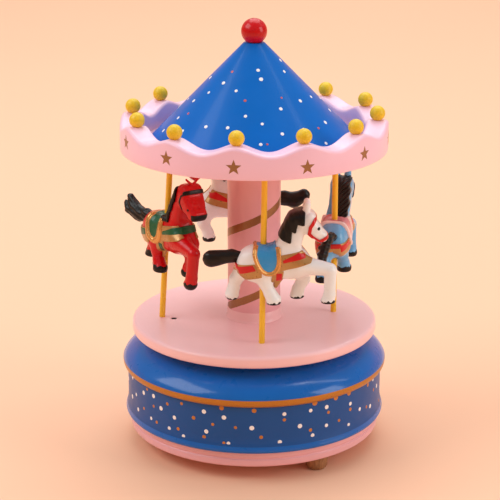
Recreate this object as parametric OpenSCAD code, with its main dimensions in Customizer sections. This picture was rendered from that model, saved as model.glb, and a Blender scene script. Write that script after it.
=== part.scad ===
// Carousel music box: a wooden carousel with four horses that turns on a spring-driven cylinder movement.
// The carousel is wound by hand, and its arbor drives the cylinder, the comb's music and the air brake.
// +Z is up. The origin is on the surface that the feet stand on, below the carousel's axis. Millimetres.

/* [Base] */
// Height of the three feet
foot_h = 6.4; // [5:0.1:9]
// Radius of a foot at its top
foot_r = 4.8; // [4:0.1:6]
// Distance of the feet from the axis
foot_pitch_r = 46; // [42:0.5:47]
// Radius of the bottom plate
plate_r = 52.9; // [52:0.1:53.2]
// Thickness of the bottom plate
plate_t = 6.4; // [5:0.1:7]
// Radius of the drum at its two lips
lip_r = 55.9; // [55:0.1:57]
// Radius of the drum at its waist
waist_r = 53.6; // [53:0.1:54.5]
// Height of the deck's top above the table
deck_top = 46.3; // [46:0.1:47]
// Thickness of the deck
deck_t = 4.8; // [4:0.1:5]
// Radius of the hollow under the deck
cavity_r = 49; // [48.5:0.1:49.5]

/* [Carousel] */
// Radius of the turntable disc
disc_r = 51.6; // [50:0.1:54]
// Thickness of the turntable disc
disc_t = 5; // [4:0.1:6]
// Gap between the deck and the disc
disc_gap = 1.8; // [1.5:0.1:2.5]
// Radius of the centre column
column_r = 11.1; // [9:0.1:14]
// Height of the column between disc and canopy
column_h = 73.6; // [72:0.1:80]
// Radius of a horse's pole
pole_r = 1.25; // [1:0.05:1.5]
// Distance of the poles from the axis
pole_pitch_r = 34.2; // [33:0.1:36]

/* [Canopy] */
// Outer radius of the crown ring
crown_r = 55.2; // [54:0.1:57]
// Inner radius of the crown ring
crown_inner_r = 46; // [45.5:0.1:47]
// Height of the crown ring at the bead seats
crown_h = 13; // [12:0.1:14]
// Number of beads and scallops
bead_count = 12; // [12:1:12]
// Radius of a crown bead
bead_r = 3.13; // [2.8:0.01:3.4]
// Radius of the finial ball
finial_r = 5.34; // [4.8:0.01:6]
// Radius of the roof's flat top
roof_top_r = 4.2; // [3.8:0.1:5]

/* [Movement] */
// Teeth of the great wheel
great_teeth = 32; // [32:1:32]
// Teeth of the cylinder's pinion
pinion_teeth = 12; // [12:1:12]
// Notes of the comb
notes = 18; // [18:1:18]

/* [Hidden] */
$fn = 96;
function bead_name(i) = str("crown_bead_", i < 10 ? "0" : "", i);

// Heights, from the table up
plate_top = foot_h + plate_t;
deck_bottom = deck_top - deck_t;
disc_bottom = deck_top + disc_gap;
disc_top = disc_bottom + disc_t;
canopy_z = disc_top + column_h;
canopy_deck_t = 3;
roof_z = canopy_z + canopy_deck_t;
bead_seat_z = canopy_z + crown_h;
roof_slope = 1.025;
roof_base_r = 43.8;
roof_top_z = roof_z + (roof_base_r - roof_top_r) * roof_slope;

// Feet and screws of the base
foot_azimuths = [34, 154, 274];
plate_screw_r = 50.6;
plate_screw_azimuths = [45, 135, 225, 315];
plate_screw_head_r = 1.25;
wood_screw_r = 0.8;

// Arbor, barrel and the train. Each height is that of a piece's lower face.
arbor_r = 2.5;
run_gap = 0.05;
bedplate_t = 2.2;
bedplate_z = deck_bottom - bedplate_t;
ratchet_z = 18.8;
ratchet_t = 1.8;
great_z = 20.8;
great_web_t = 1.8;
tooth_root_z = great_z + great_web_t;
contrate_module = 0.75;
contrate_r = great_teeth * contrate_module / 2;
contrate_pitch_z = tooth_root_z + 0.95;
pinion_r = pinion_teeth * contrate_module / 2;
axis_z = contrate_pitch_z + pinion_r;
barrel_z = 26;
barrel_r = 10.5;

// Cylinder: places along +X
pinion_x = 11.1;
pinion_w = 2;
cylinder_x = 15.3;
cylinder_l = 15;
cylinder_r = 6.5;
pin_h = 0.6;
pin_r = 0.2;
spur_module = 0.5;
spur_teeth = 36;
spur_x = 30.9;
spur_w = 1.5;
cylinder_arbor_r = 1;

// Governor: the arbor lies beside the cylinder, and the worm stands beyond it
gov_teeth = 9;
gov_y = -(spur_teeth + gov_teeth) * spur_module / 2;
gov_arbor_r = 0.7;
worm_wheel_teeth = 24;
worm_x = 34.7;
worm_wheel_w = 1;
worm_pitch = PI * spur_module;
worm_body_r = 1.35;
worm_offset = 0.45;
worm_y = gov_y - worm_wheel_teeth * spur_module / 2 - 1.42;
worm_shaft_r = 0.6;
worm_turns = 4;
fan_z = 17.2;
fan_h = 3.6;
fan_r = 6.3;

// Click, on the great wheel's underside
click_pivot_r = 0.8;
click_pivot_pitch_r = 10.2;
click_azimuth = 200;
click_lead = 50;
ratchet_r = 6;
ratchet_root_r = 4.8;
ratchet_teeth = 12;

// Poles: azimuth of the foot's hole and of the canopy's hole, counted from the front towards +X.
// The first pole has come out of its hole and stands beside it.
pole_sink = 3;
pole_feet = [
    [-39, -2.3, disc_top],
    polar(5.1, pole_pitch_r, disc_top - pole_sink),
    polar(97.8, pole_pitch_r, disc_top - pole_sink),
    polar(185.5, pole_pitch_r, disc_top - pole_sink)
];
pole_heads = [
    [-34.2, -4.2, canopy_z],
    polar(7.1, pole_pitch_r, canopy_z),
    polar(97.8, pole_pitch_r, canopy_z),
    polar(185.5, pole_pitch_r, canopy_z)
];
pole_l = 79.6;
empty_hole = polar(-82.6, pole_pitch_r, disc_top - pole_sink);
pole_colour = "goldenrod";

// Horses: height of the hooves on the pole, heading about the pole, how far the moulding sits off the pole
// (forward, left), colour, and how far the tail reaches back and up
hoof_z = 70;
horse_lift = [3.7, 0, -1.2, 5];
horse_heading = [-52.5, 0, 80, 187];
horse_shift = [[-0.8, -0.6], [0, 0], [0, 0], [0, 0]];
horse_colour = ["firebrick", "white", "lightskyblue", "white"];
tail_reach = [24, 21, 18, 24.5];
tail_rise = [25, 17.5, 14, 19];

function polar(az, r, z) = [r * sin(az), -r * cos(az), z];
function pole_dir(i) = (pole_heads[i - 1] - pole_feet[i - 1]) / norm(pole_heads[i - 1] - pole_feet[i - 1]);

// Puts its children into a pole's frame: origin at the pole's foot, +Z up the pole
module on_pole(i) {
    d = pole_dir(i);
    translate(pole_feet[i - 1])
        rotate([0, acos(d.z), atan2(d.y, d.x)])
            rotate([0, 0, -atan2(d.y, d.x)])
                children();
}

module pole_rod(i, r = pole_r, l = pole_l) {
    on_pole(i) cylinder(r = r, h = l);
}

module all_pole_rods() {
    for (i = [1:4]) pole_rod(i);
}

// Turned outline of the drum: lower bead, waist, upper lip as a quarter ellipse, flat deck
lip_z = 35.8;
bead_lip_z = plate_top + 1.5;
deck_edge_r = 48;
function lip_arc() = [for (a = [0:7.5:90])
    [deck_edge_r + (lip_r - deck_edge_r) * cos(a), lip_z + (deck_top - lip_z) * sin(a)]];
function bead_arc() = [for (a = [-90:15:90])
    [lip_r - 1.6 + 1.5 * cos(a), bead_lip_z + 1.5 * sin(a)]];
function waist_arc() = [for (t = [0:0.125:1])
    [waist_r + 0.35 * pow(2 * t - 1, 2), bead_lip_z + 1.5 + t * (lip_z - 2.4 - bead_lip_z - 1.5)]];
function drum_outline() = concat(
    [[cavity_r, plate_top]], bead_arc(), waist_arc(), [[lip_r - 0.4, lip_z - 1.2]], lip_arc(),
    [[0, deck_top], [0, deck_bottom], [cavity_r, deck_bottom]]);

module base_drum() {
    color("royalblue")
        difference() {
            rotate_extrude() polygon(drum_outline());
            translate([0, 0, deck_bottom - 1]) cylinder(r = 4.5, h = deck_t + 2);
            plate_screw_places() cylinder(r = wood_screw_r, h = 16);
            bedplate_screw_places() cylinder(r = 1, h = bedplate_t + 3.5);
        }
}

module plate_screw_places() {
    for (a = plate_screw_azimuths) translate(polar(a, plate_screw_r, foot_h)) children();
}

module bottom_plate() {
    groove_z = foot_h + plate_t / 2;
    color("pink")
        difference() {
            translate([0, 0, foot_h]) cylinder(r = plate_r, h = plate_t);
            translate([0, 0, groove_z - 0.25])
                difference() {
                    cylinder(r = plate_r + 1, h = 0.5);
                    translate([0, 0, -1]) cylinder(r = plate_r - 0.5, h = 3);
                }
            plate_screw_places() {
                translate([0, 0, -1]) cylinder(r = wood_screw_r, h = plate_t + 2);
                cylinder(r1 = plate_screw_head_r, r2 = wood_screw_r, h = 1.6);
            }
        }
}

module foot(i) {
    color("burlywood")
        translate(polar(foot_azimuths[i - 1], foot_pitch_r, 0))
            rotate_extrude()
                polygon([[0, 0], [foot_r - 1.3, 0], [foot_r - 0.6, 0.5], [foot_r - 0.3, 1.4],
                    [foot_r, foot_h - 1], [foot_r, foot_h], [0, foot_h]]);
}

module bottom_plate_screws() {
    color("silver")
        plate_screw_places() {
            difference() {
                cylinder(r1 = plate_screw_head_r, r2 = wood_screw_r, h = 1.6);
                translate([-0.2, -3, -1]) cube([0.4, 6, 1.4]);
            }
            translate([0, 0, 1.6]) cylinder(r = wood_screw_r, h = 14.4);
        }
}

module deck_bush() {
    color("gold")
        translate([0, 0, bedplate_z])
            difference() {
                cylinder(r = 4.5, h = deck_top - bedplate_z);
                translate([0, 0, -1]) cylinder(r = arbor_r + run_gap, h = 20);
            }
}

module thrust_washer() {
    color("ivory")
        translate([0, 0, deck_top])
            difference() {
                cylinder(r = 8, h = disc_gap - 0.05);
                translate([0, 0, -1]) cylinder(r = arbor_r + 0.3, h = 5);
            }
}

// Bedplate, under the deck
bedplate_holes = [[-11, -22], [-11, 20], [36, -4.5], [22, 26]];
barrel_screw_azimuths = [150, 210, 330];
module bedplate_screw_places() {
    for (p = bedplate_holes) translate([p.x, p.y, bedplate_z]) children();
}

module bedplate() {
    color("darkkhaki")
        translate([0, 0, bedplate_z])
            difference() {
                linear_extrude(bedplate_t)
                    intersection() {
                        circle(r = 47);
                        translate([-16, -30]) square([58, 60]);
                    }
                translate([0, 0, -1]) cylinder(r = 4.5, h = 5);
                translate([0, 0, -bedplate_z]) {
                    bedplate_screw_places() translate([0, 0, -1]) cylinder(r = 1, h = 5);
                    movement_screw_places() cylinder(r = screw_r, h = 3);
                }
            }
}

module bedplate_screws() {
    color("silver")
        bedplate_screw_places() {
            cylinder(r = 1, h = bedplate_t + 3.2);
            translate([0, 0, -1.2])
                difference() {
                    cylinder(r = 2, h = 1.2);
                    translate([-0.25, -3, -1]) cube([0.5, 6, 1.5]);
                }
        }
}

// Small screws of the movement: [x, y, height of the screw's seat]
screw_r = 0.8;
screw_head_h = 1;
bracket_t = 2;
comb_z = axis_z - 0.6;
comb_t = 1.2;
movement_screw_spots = concat(
    [for (a = barrel_screw_azimuths) let (p = polar(a, 12.6, 0)) [p.x, p.y, bedplate_z - 1]],
    [[17.8, 0, bedplate_z - bracket_t], [37.3, 0, bedplate_z - bracket_t]],
    [[30.8, -23, bedplate_z - bracket_t], [32.8, -11.5, bedplate_z - bracket_t]],
    [[18.2, 17.5, comb_z], [27.4, 17.5, comb_z]]);
module movement_screw_places() {
    for (p = movement_screw_spots) translate(p) children();
}

module movement_screws() {
    color("silver")
        movement_screw_places() {
            cylinder(r = screw_r, h = 3);
            translate([0, 0, -screw_head_h])
                difference() {
                    cylinder(r = 1.5, h = screw_head_h);
                    translate([-0.2, -2, -1]) cube([0.4, 4, 1.4]);
                }
        }
}

module spring_barrel() {
    color("silver")
        difference() {
            union() {
                translate([0, 0, barrel_z]) cylinder(r = barrel_r, h = bedplate_z - barrel_z);
                translate([0, 0, bedplate_z - 1]) cylinder(r = 14.4, h = 1);
            }
            translate([0, 0, barrel_z + 0.8]) cylinder(r = barrel_r - 0.8, h = 20);
            translate([0, 0, barrel_z - 1]) cylinder(r = arbor_r + 0.4, h = 20);
            translate([13.4, -5, bedplate_z - 2]) cube([5, 10, 4]);
            movement_screw_places() cylinder(r = screw_r, h = 3);
        }
}

// Flat spiral spring: a band wound from the arbor out to the barrel's wall
spring_turns = 7;
spring_in_r = 3.2;
spring_out_r = 9.2;
spring_t = 0.35;
function spiral_r(a) = spring_in_r + (spring_out_r - spring_in_r) * a / (360 * spring_turns);
function spiral(dr) = [for (a = [0:15:360 * spring_turns])
    [(spiral_r(a) + dr) * cos(a), (spiral_r(a) + dr) * sin(a)]];
function backwards(v) = [for (i = [len(v) - 1:-1:0]) v[i]];
module mainspring() {
    color("slategray")
        translate([0, 0, barrel_z + 2])
            linear_extrude(9)
                polygon(concat(spiral(0), backwards(spiral(spring_t))));
}

module comb_block() {
    color("darkkhaki")
        difference() {
            translate([cylinder_x, 14.6, comb_z + comb_t]) cube([cylinder_l, 6, bedplate_z - comb_z - comb_t]);
            movement_screw_places() cylinder(r = screw_r, h = 3);
        }
}

// Comb: one steel plate with a tooth for each note, the bass teeth long and the treble teeth short
comb_tip_y = cylinder_r + pin_h + 0.1;
comb_root_y = 14.6;
note_pitch = cylinder_l / notes;
module comb() {
    color("lightsteelblue")
        difference() {
            translate([cylinder_x, comb_tip_y, comb_z]) cube([cylinder_l, 13.4, comb_t]);
            for (k = [1:notes - 1])
                translate([cylinder_x + k * note_pitch - 0.12, comb_tip_y - 1, comb_z - 1])
                    cube([0.24, comb_root_y - comb_tip_y + 1 - 0.2 * k, comb_t + 2]);
            translate([cylinder_x - 1, comb_tip_y - 1, comb_z + 0.6]) cube([cylinder_l + 2, 5, 1]);
            movement_screw_places() translate([0, 0, -1]) cylinder(r = screw_r, h = 5);
        }
}

// Bracket that hangs from the bedplate, with a foot and a bore for the cylinder's arbor
module cylinder_bracket(x, foot_dir) {
    w = 7;
    foot_x = foot_dir > 0 ? x : x - 4.6;
    difference() {
        union() {
            translate([x, -w / 2, axis_z - 2.3]) cube([1.2, w, bedplate_z - axis_z + 2.3]);
            translate([foot_x, -w / 2, bedplate_z - bracket_t]) cube([5.8, w, bracket_t]);
        }
        translate([x - 1, 0, axis_z]) rotate([0, 90, 0]) cylinder(r = cylinder_arbor_r + run_gap, h = 4);
        movement_screw_places() cylinder(r = screw_r, h = 3);
        bedplate_screw_places() translate([0, 0, -3]) cylinder(r = 2.2, h = 5);
    }
}

module cylinder_bracket_inner() {
    color("darkkhaki") cylinder_bracket(13.8, 1);
}

module cylinder_bracket_outer() {
    color("darkkhaki") cylinder_bracket(33.2, 1);
}

module governor_bracket() {
    post_y = gov_y - 2.4;
    top_z = bedplate_z - bracket_t;
    color("darkkhaki")
        difference() {
            union() {
                translate([28.6, -28.4, top_z]) cube([9.4, 28.4 + gov_y + 2.6, bracket_t]);
                for (x = [28.6, 36.8])
                    translate([x, post_y, axis_z - 2]) cube([1.2, 5, bedplate_z - axis_z + 1]);
                translate([worm_x - 2, -28.4, 14.4]) cube([4, 2, bedplate_z - 15]);
                translate([worm_x - 2, -28.4, 14.4]) cube([4, 28.4 + worm_y + 1.5, 2]);
            }
            translate([28, gov_y, axis_z]) rotate([0, 90, 0]) cylinder(r = gov_arbor_r + run_gap, h = 12);
            translate([worm_x, worm_y, 15]) cylinder(r = worm_shaft_r + run_gap, h = 25);
            movement_screw_places() cylinder(r = screw_r, h = 3);
        }
}

// Spur outline with lean teeth, a tooth's middle at angle 0
function spur_outline(n, m, add, ded, root_f, pitch_f, tip_f) =
    let (r = n * m / 2, s = 360 / n)
    [for (i = [0:n - 1]) for (q = [[-root_f, -ded], [-pitch_f, 0], [-tip_f, add], [tip_f, add], [pitch_f, 0], [root_f, -ded]])
        let (a = i * s + q[0] * s / 2, ra = r + q[1] * m) [ra * cos(a), ra * sin(a)]];

// Lays a flat outline's extrusion along +X, its angle 0 pointing at +Y
module along_x(x, y, z, w) {
    translate([x, y, z]) rotate([90, 0, 90]) linear_extrude(w) children();
}

module great_wheel() {
    color("gold")
        difference() {
            union() {
                translate([0, 0, great_z]) cylinder(r = contrate_r + 1.4, h = great_web_t);
                translate([0, 0, great_z]) cylinder(r = 4.2, h = 4);
                for (i = [0:great_teeth - 1])
                    rotate([0, 0, i * 360 / great_teeth])
                        translate([contrate_r - 1, 0, tooth_root_z])
                            rotate([90, 0, 90])
                                linear_extrude(2)
                                    polygon([[-0.62, -0.2], [-0.62, 0], [-0.28, 1.6], [0.28, 1.6], [0.62, 0],
                                        [0.62, -0.2]]);
            }
            translate([0, 0, great_z - 1]) cylinder(r = arbor_r + run_gap, h = 10);
            click_pivot_place() cylinder(r = click_pivot_r, h = 10);
        }
}

module click_pivot_place() {
    rotate([0, 0, click_azimuth + click_lead])
        translate([click_pivot_pitch_r, 0, ratchet_z - 0.5])
            children();
}

module click_pivot() {
    color("silver")
        click_pivot_place() {
            translate([0, 0, 0.45]) cylinder(r = click_pivot_r, h = great_z - ratchet_z + 0.05 + great_web_t);
            cylinder(r = 1.4, h = 0.45);
        }
}

module click() {
    color("slategray")
        translate([0, 0, ratchet_z + 0.05])
            rotate([0, 0, click_azimuth])
                linear_extrude(ratchet_t - 0.1)
                    difference() {
                        union() {
                            click_arm();
                            rotate(click_lead) translate([click_pivot_pitch_r, 0]) circle(r = 1.8, $fn = 48);
                        }
                        rotate(click_lead) translate([click_pivot_pitch_r, 0])
                            circle(r = click_pivot_r + run_gap, $fn = 48);
                    }
}

module click_arm() {
    px = click_pivot_pitch_r * cos(click_lead);
    py = click_pivot_pitch_r * sin(click_lead);
    polygon([[ratchet_root_r + 0.25, 0.35], [ratchet_r + 0.3, 0.2], [px + 1.2, py - 0.6], [px - 1.3, py - 0.4],
        [ratchet_root_r + 0.45, 2.2]]);
}

// Each ratchet tooth rises slowly and drops steeply on the side that drives the click
module ratchet_wheel() {
    step = 360 / ratchet_teeth;
    color("silver")
        translate([0, 0, ratchet_z])
            linear_extrude(ratchet_t)
                difference() {
                    polygon([for (i = [0:ratchet_teeth - 1]) for (q = [[0, ratchet_r], [1, ratchet_root_r]])
                        let (a = click_azimuth + i * step + q[0]) [q[1] * cos(a), q[1] * sin(a)]]);
                    circle(r = arbor_r);
                }
}

module winding_arbor() {
    color("silver")
        difference() {
            translate([0, 0, 16.6]) cylinder(r = arbor_r, h = disc_bottom + 3 - 16.6);
            translate([0, 0, 17.6])
                difference() {
                    cylinder(r = 4, h = 0.8);
                    translate([0, 0, -1]) cylinder(r = arbor_r - 0.5, h = 3);
                }
        }
}

module arbor_clip() {
    color("slategray")
        translate([0, 0, 17.6])
            linear_extrude(0.8)
                difference() {
                    circle(r = 4.4);
                    circle(r = arbor_r - 0.5);
                    translate([0, -1.4]) square([6, 2.8]);
                }
}

hub_screw_azimuths = [45, 135, 225, 315];
module hub_screw_places() {
    for (a = hub_screw_azimuths) translate(polar(a, 6.2, disc_bottom)) children();
}

module hub_flange() {
    color("gold")
        difference() {
            union() {
                translate([0, 0, disc_bottom]) cylinder(r = 8.4, h = 1.2);
                translate([0, 0, disc_bottom]) cylinder(r = 4, h = 3);
            }
            translate([0, 0, disc_bottom - 1]) cylinder(r = arbor_r, h = 6);
            hub_screw_places() hub_screw();
        }
}

module hub_screw() {
    cylinder(r1 = 1.5, r2 = 0.8, h = 0.8);
    translate([0, 0, 0.8]) cylinder(r = 0.8, h = 3);
}

module hub_screws() {
    color("silver") hub_screw_places() hub_screw();
}

module turntable_disc() {
    edge = 0.5;
    color("pink")
        difference() {
            translate([0, 0, disc_bottom])
                rotate_extrude($fn = 192)
                    polygon([[0, 0], [disc_r - edge, 0], [disc_r, edge], [disc_r, disc_t - edge],
                        [disc_r - edge, disc_t], [0, disc_t]]);
            translate([0, 0, disc_bottom - 1]) cylinder(r = 8.4, h = 2.2);
            translate([0, 0, disc_bottom - 1]) cylinder(r = 4, h = 4);
            hub_screw_places() hub_screw();
            for (i = [2:4]) pole_rod(i);
            translate(empty_hole) cylinder(r = pole_r + 0.05, h = pole_sink + 1);
        }
}

module column() {
    color("lightpink") translate([0, 0, disc_top]) cylinder(r = column_r, h = column_h);
}

module pole(i) {
    foot_trim = 0.2;
    color(pole_colour)
        if (i == 1) {
            difference() {
                pole_rod(1);
                translate(pole_feet[0] + [-5, -5, -5]) cube([10, 10, 5]);
            }
        } else {
            pole_rod(i);
        }
}

module canopy_deck() {
    color("pink")
        difference() {
            translate([0, 0, canopy_z]) cylinder(r = crown_inner_r, h = canopy_deck_t);
            all_pole_rods();
        }
}

module crown_ring() {
    scallop_r = 20.3;
    seat_half = 3.5;
    half_pitch = PI * crown_r / bead_count;
    lift = sqrt(pow(scallop_r, 2) - pow(half_pitch - seat_half, 2));
    color("pink")
        difference() {
            translate([0, 0, canopy_z]) cylinder(r = crown_r, h = crown_h);
            translate([0, 0, canopy_z - 1]) cylinder(r = crown_inner_r, h = crown_h + 2);
            for (i = [1:bead_count])
                rotate([0, 0, bead_azimuth(i) + 180 / bead_count])
                    translate([0, -crown_inner_r + 8, bead_seat_z + lift])
                        rotate([90, 0, 0])
                            cylinder(r = scallop_r, h = 20);
        }
}

function bead_azimuth(i) = -7.7 + (i - 1) * 360 / bead_count;
module crown_bead(i) {
    sink = 0.5;
    color("yellow")
        translate(polar(bead_azimuth(i), (crown_r + crown_inner_r) / 2, bead_seat_z))
            intersection() {
                translate([0, 0, bead_r - sink]) sphere(r = bead_r, $fn = 48);
                translate([-4, -4, 0]) cube(8);
            }
}

module roof_cone() {
    color("royalblue")
        difference() {
            translate([0, 0, roof_z]) cylinder(r1 = roof_base_r, r2 = roof_top_r, h = roof_top_z - roof_z);
            all_pole_rods();
            translate([0, 0, roof_top_z - 8]) cylinder(r = 1.5, h = 10);
        }
}

module roof_finial() {
    color("red") {
        translate([0, 0, roof_top_z])
            intersection() {
                translate([0, 0, finial_r - 0.9]) sphere(r = finial_r);
                translate([-8, -8, 0]) cube(16);
            }
        translate([0, 0, roof_top_z - 8]) cylinder(r = 1.5, h = 9);
    }
}

// A horse in its own frame: +X forward, +Y to its left, +Z up from the hooves, origin on the pole's axis.
// Each bone is a tapered limb between two balls: [end, radius], [end, radius].
module bone(a, ra, b, rb) {
    hull() {
        translate(a) sphere(r = ra, $fn = 16);
        translate(b) sphere(r = rb, $fn = 16);
    }
}

module horse_solid(reach, rise) {
    hull() {
        translate([-4.6, 0, 17.6]) sphere(r = 6, $fn = 16);
        translate([12.6, 0, 17.6]) sphere(r = 6.4, $fn = 16);
    }
    bone([12.2, 0, 21], 5.4, [16.3, 0, 38.6], 3.5);
    bone([18, 0, 36.6], 3.4, [24, 0, 29], 2.5);
    bone([14.5, -3, 15.2], 4, [26.6, -3.9, 14.2], 3);
    bone([26.6, -3.9, 13.4], 2.7, [26.4, -4, 2.9], 2.7);
    bone([15, 2.9, 13.5], 3.9, [14.2, 3.5, 2.9], 2.7);
    bone([-6.2, 2.9, 14], 4.2, [-11.8, 3.6, 2.9], 2.7);
    bone([1.2, -2.9, 12.6], 4.2, [5.4, -4, 2.9], 2.7);
    bone([-8.8, 0, 19.4], 1.9, [-reach, 0, rise], 3.2);
    for (s = [-1, 1]) translate([17, 1.8 * s, 40.5]) cylinder(r1 = 1.2, r2 = 0.5, h = 3.4, $fn = 16);
}

module horse(i) {
    color(horse_colour[i - 1])
        difference() {
            on_pole(i)
                translate([0, 0, hoof_z + horse_lift[i - 1] - pole_feet[i - 1].z])
                    rotate([0, 0, horse_heading[i - 1]])
                        translate(horse_shift[i - 1])
                            horse_solid(tail_reach[i - 1], tail_rise[i - 1]);
            pole_rod(i);
        }
}

module music_cylinder() {
    color("gold")
        along_x(cylinder_x, 0, axis_z, cylinder_l)
            difference() {
                circle(r = cylinder_r);
                circle(r = cylinder_arbor_r);
            }
}

// Pins of the tune: each track has a few pins, spread by a simple rule
module cylinder_pins() {
    pins_per_track = 4;
    color("gold")
        for (k = [0:notes - 1]) for (j = [0:pins_per_track - 1])
            translate([cylinder_x + (k + 0.5) * note_pitch, 0, axis_z])
                rotate([(k * 137 + j * 83 + (k * j * 29) % 47) % 360, 0, 0])
                    translate([0, 0, cylinder_r - 0.1])
                        cylinder(r = pin_r, h = pin_h + 0.1, $fn = 16);
}

module cylinder_arbor() {
    color("silver")
        difference() {
            union() {
                along_x(pinion_x, 0, axis_z, 34.6 - pinion_x) circle(r = cylinder_arbor_r, $fn = 48);
                along_x(pinion_x, 0, axis_z, pinion_w)
                    rotate(-90 + 180 / pinion_teeth)
                        polygon(spur_outline(pinion_teeth, contrate_module, 0.85, 1.3, 0.42, 0.36, 0.12));
            }
        }
}

module cylinder_wheel() {
    color("gold")
        along_x(spur_x, 0, axis_z, spur_w)
            difference() {
                rotate(180) polygon(spur_outline(spur_teeth, spur_module, 0.9, 1.3, 0.52, 0.4, 0.12));
                circle(r = cylinder_arbor_r, $fn = 48);
            }
}

module governor_arbor() {
    color("silver") {
        along_x(28.7, gov_y, axis_z, 9.2) circle(r = gov_arbor_r, $fn = 48);
        along_x(spur_x - 0.2, gov_y, axis_z, spur_w + 0.4)
            rotate(180 / gov_teeth)
                polygon(spur_outline(gov_teeth, spur_module, 0.75, 1.35, 0.4, 0.32, 0.14));
    }
}

module worm_wheel() {
    color("gold")
        along_x(worm_x - worm_wheel_w / 2, gov_y, axis_z, worm_wheel_w)
            difference() {
                rotate(180) polygon(spur_outline(worm_wheel_teeth, spur_module, 0.7, 1.1, 0.42, 0.26, 0.1));
                circle(r = gov_arbor_r, $fn = 48);
            }
}

// Worm: an off-centre disc wound up the shaft as a right-hand thread of one start
module worm_shaft() {
    half = worm_turns * worm_pitch / 2;
    color("silver") {
        translate([worm_x, worm_y, 15.05]) cylinder(r = worm_shaft_r, h = 23.4);
        translate([worm_x, worm_y, axis_z - half])
            linear_extrude(2 * half, twist = -360 * worm_turns, slices = 16 * worm_turns, $fn = 16)
                rotate(-90) translate([worm_offset, 0]) circle(r = worm_body_r, $fn = 16);
    }
}

module air_fan() {
    blade_t = 0.5;
    color("gold")
        difference() {
            union() {
                translate([worm_x, worm_y, fan_z]) cylinder(r = 1.5, h = fan_h);
                for (a = [0, 120, 240])
                    translate([worm_x, worm_y, fan_z])
                        rotate([0, 0, a])
                            translate([0, -blade_t / 2, 0])
                                cube([fan_r, blade_t, fan_h]);
            }
            translate([worm_x, worm_y, fan_z - 1]) cylinder(r = worm_shaft_r, h = fan_h + 2);
        }
}

base_drum();
bottom_plate();
for (i = [1:3]) foot(i);
bottom_plate_screws();
deck_bush();
thrust_washer();
bedplate();
bedplate_screws();
spring_barrel();
mainspring();
comb_block();
comb();
cylinder_bracket_inner();
cylinder_bracket_outer();
governor_bracket();
movement_screws();
turntable_disc();
winding_arbor();
ratchet_wheel();
arbor_clip();
hub_flange();
hub_screws();
column();
for (i = [1:4]) pole(i);
horse(1);  // horse_red
horse(2);  // horse_white_front
horse(3);  // horse_blue
horse(4);  // horse_white_rear
canopy_deck();
crown_ring();
roof_cone();
roof_finial();
for (i = [1:bead_count]) crown_bead(i);
great_wheel();
click_pivot();
click();
music_cylinder();
cylinder_pins();
cylinder_arbor();
cylinder_wheel();
governor_arbor();
worm_wheel();
worm_shaft();
air_fan();
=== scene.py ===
"""Looks of the carousel music box: painted wood, moulded horses and a clockwork movement."""

import math
import random

import bpy
import numpy as np
from mathutils import Matrix, Vector


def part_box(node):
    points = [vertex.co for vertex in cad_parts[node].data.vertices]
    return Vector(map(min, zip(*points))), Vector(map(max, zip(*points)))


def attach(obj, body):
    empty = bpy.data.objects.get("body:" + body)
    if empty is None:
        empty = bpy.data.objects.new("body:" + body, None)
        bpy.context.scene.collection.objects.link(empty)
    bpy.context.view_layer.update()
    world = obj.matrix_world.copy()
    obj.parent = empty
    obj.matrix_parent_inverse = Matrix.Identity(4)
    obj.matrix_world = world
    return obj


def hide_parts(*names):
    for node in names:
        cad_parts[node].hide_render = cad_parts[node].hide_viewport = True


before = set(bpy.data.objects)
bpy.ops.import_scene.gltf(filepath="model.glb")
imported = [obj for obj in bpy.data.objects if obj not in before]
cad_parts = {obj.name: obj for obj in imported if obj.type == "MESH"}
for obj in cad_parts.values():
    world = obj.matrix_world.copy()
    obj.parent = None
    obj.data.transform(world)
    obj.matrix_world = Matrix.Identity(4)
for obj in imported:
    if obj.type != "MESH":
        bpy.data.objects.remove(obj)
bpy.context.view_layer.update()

MM = 0.001


# ---------------- sizes, in mm and degrees; the CAD nodes' own come from their parts in model.glb

def low(node):
    return [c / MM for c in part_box(node)[0]]


def high(node):
    return [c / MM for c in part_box(node)[1]]


# Base
PLATE_Z, PLATE_TOP = low("bottom_plate")[2], high("bottom_plate")[2]
PLATE_R = high("bottom_plate")[0]
GROOVE_DEPTH, GROOVE_HALF = 0.45, 0.7
CAVITY_R, CAVITY_TOP = 49.2, 41.5
SPINDLE_HOLE_R = 4.6
BEAD_R, BEAD_CENTRE_R = 1.3, 53.7
WAIST_R = 53.9
COVE_TOP, COVE_HEIGHT, COVE_FLARE = PLATE_TOP + 7.2, 5.2, 0.95
LIP_R, LIP_Z = high("base_drum")[0] - 0.05, 35.8
LIP_TOP_R, LIP_TOP_Z = 42.0, 44.5
LIP_FULLNESS = 1.6
DECK_EDGE_R, DECK_Z = 41.0, high("base_drum")[2]
# Underside of the lip, which carries the gold line: (outwards, up) from the lip's edge, from the waist out
RIM = [(-1.75, -2.7), (-1.2, -2.62), (-0.75, -2.3), (-0.4, -1.75), (-0.15, -1.0), (0.0, 0.0)]
# Disc and column
DISC_Z, DISC_TOP = low("turntable_disc")[2], high("turntable_disc")[2]
DISC_R, DISC_EDGE = high("turntable_disc")[0], 1.5
COLUMN_R = high("column")[0]
STRIPE_PITCH, STRIPE_WIDTH = 32.5, 3.5
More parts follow.
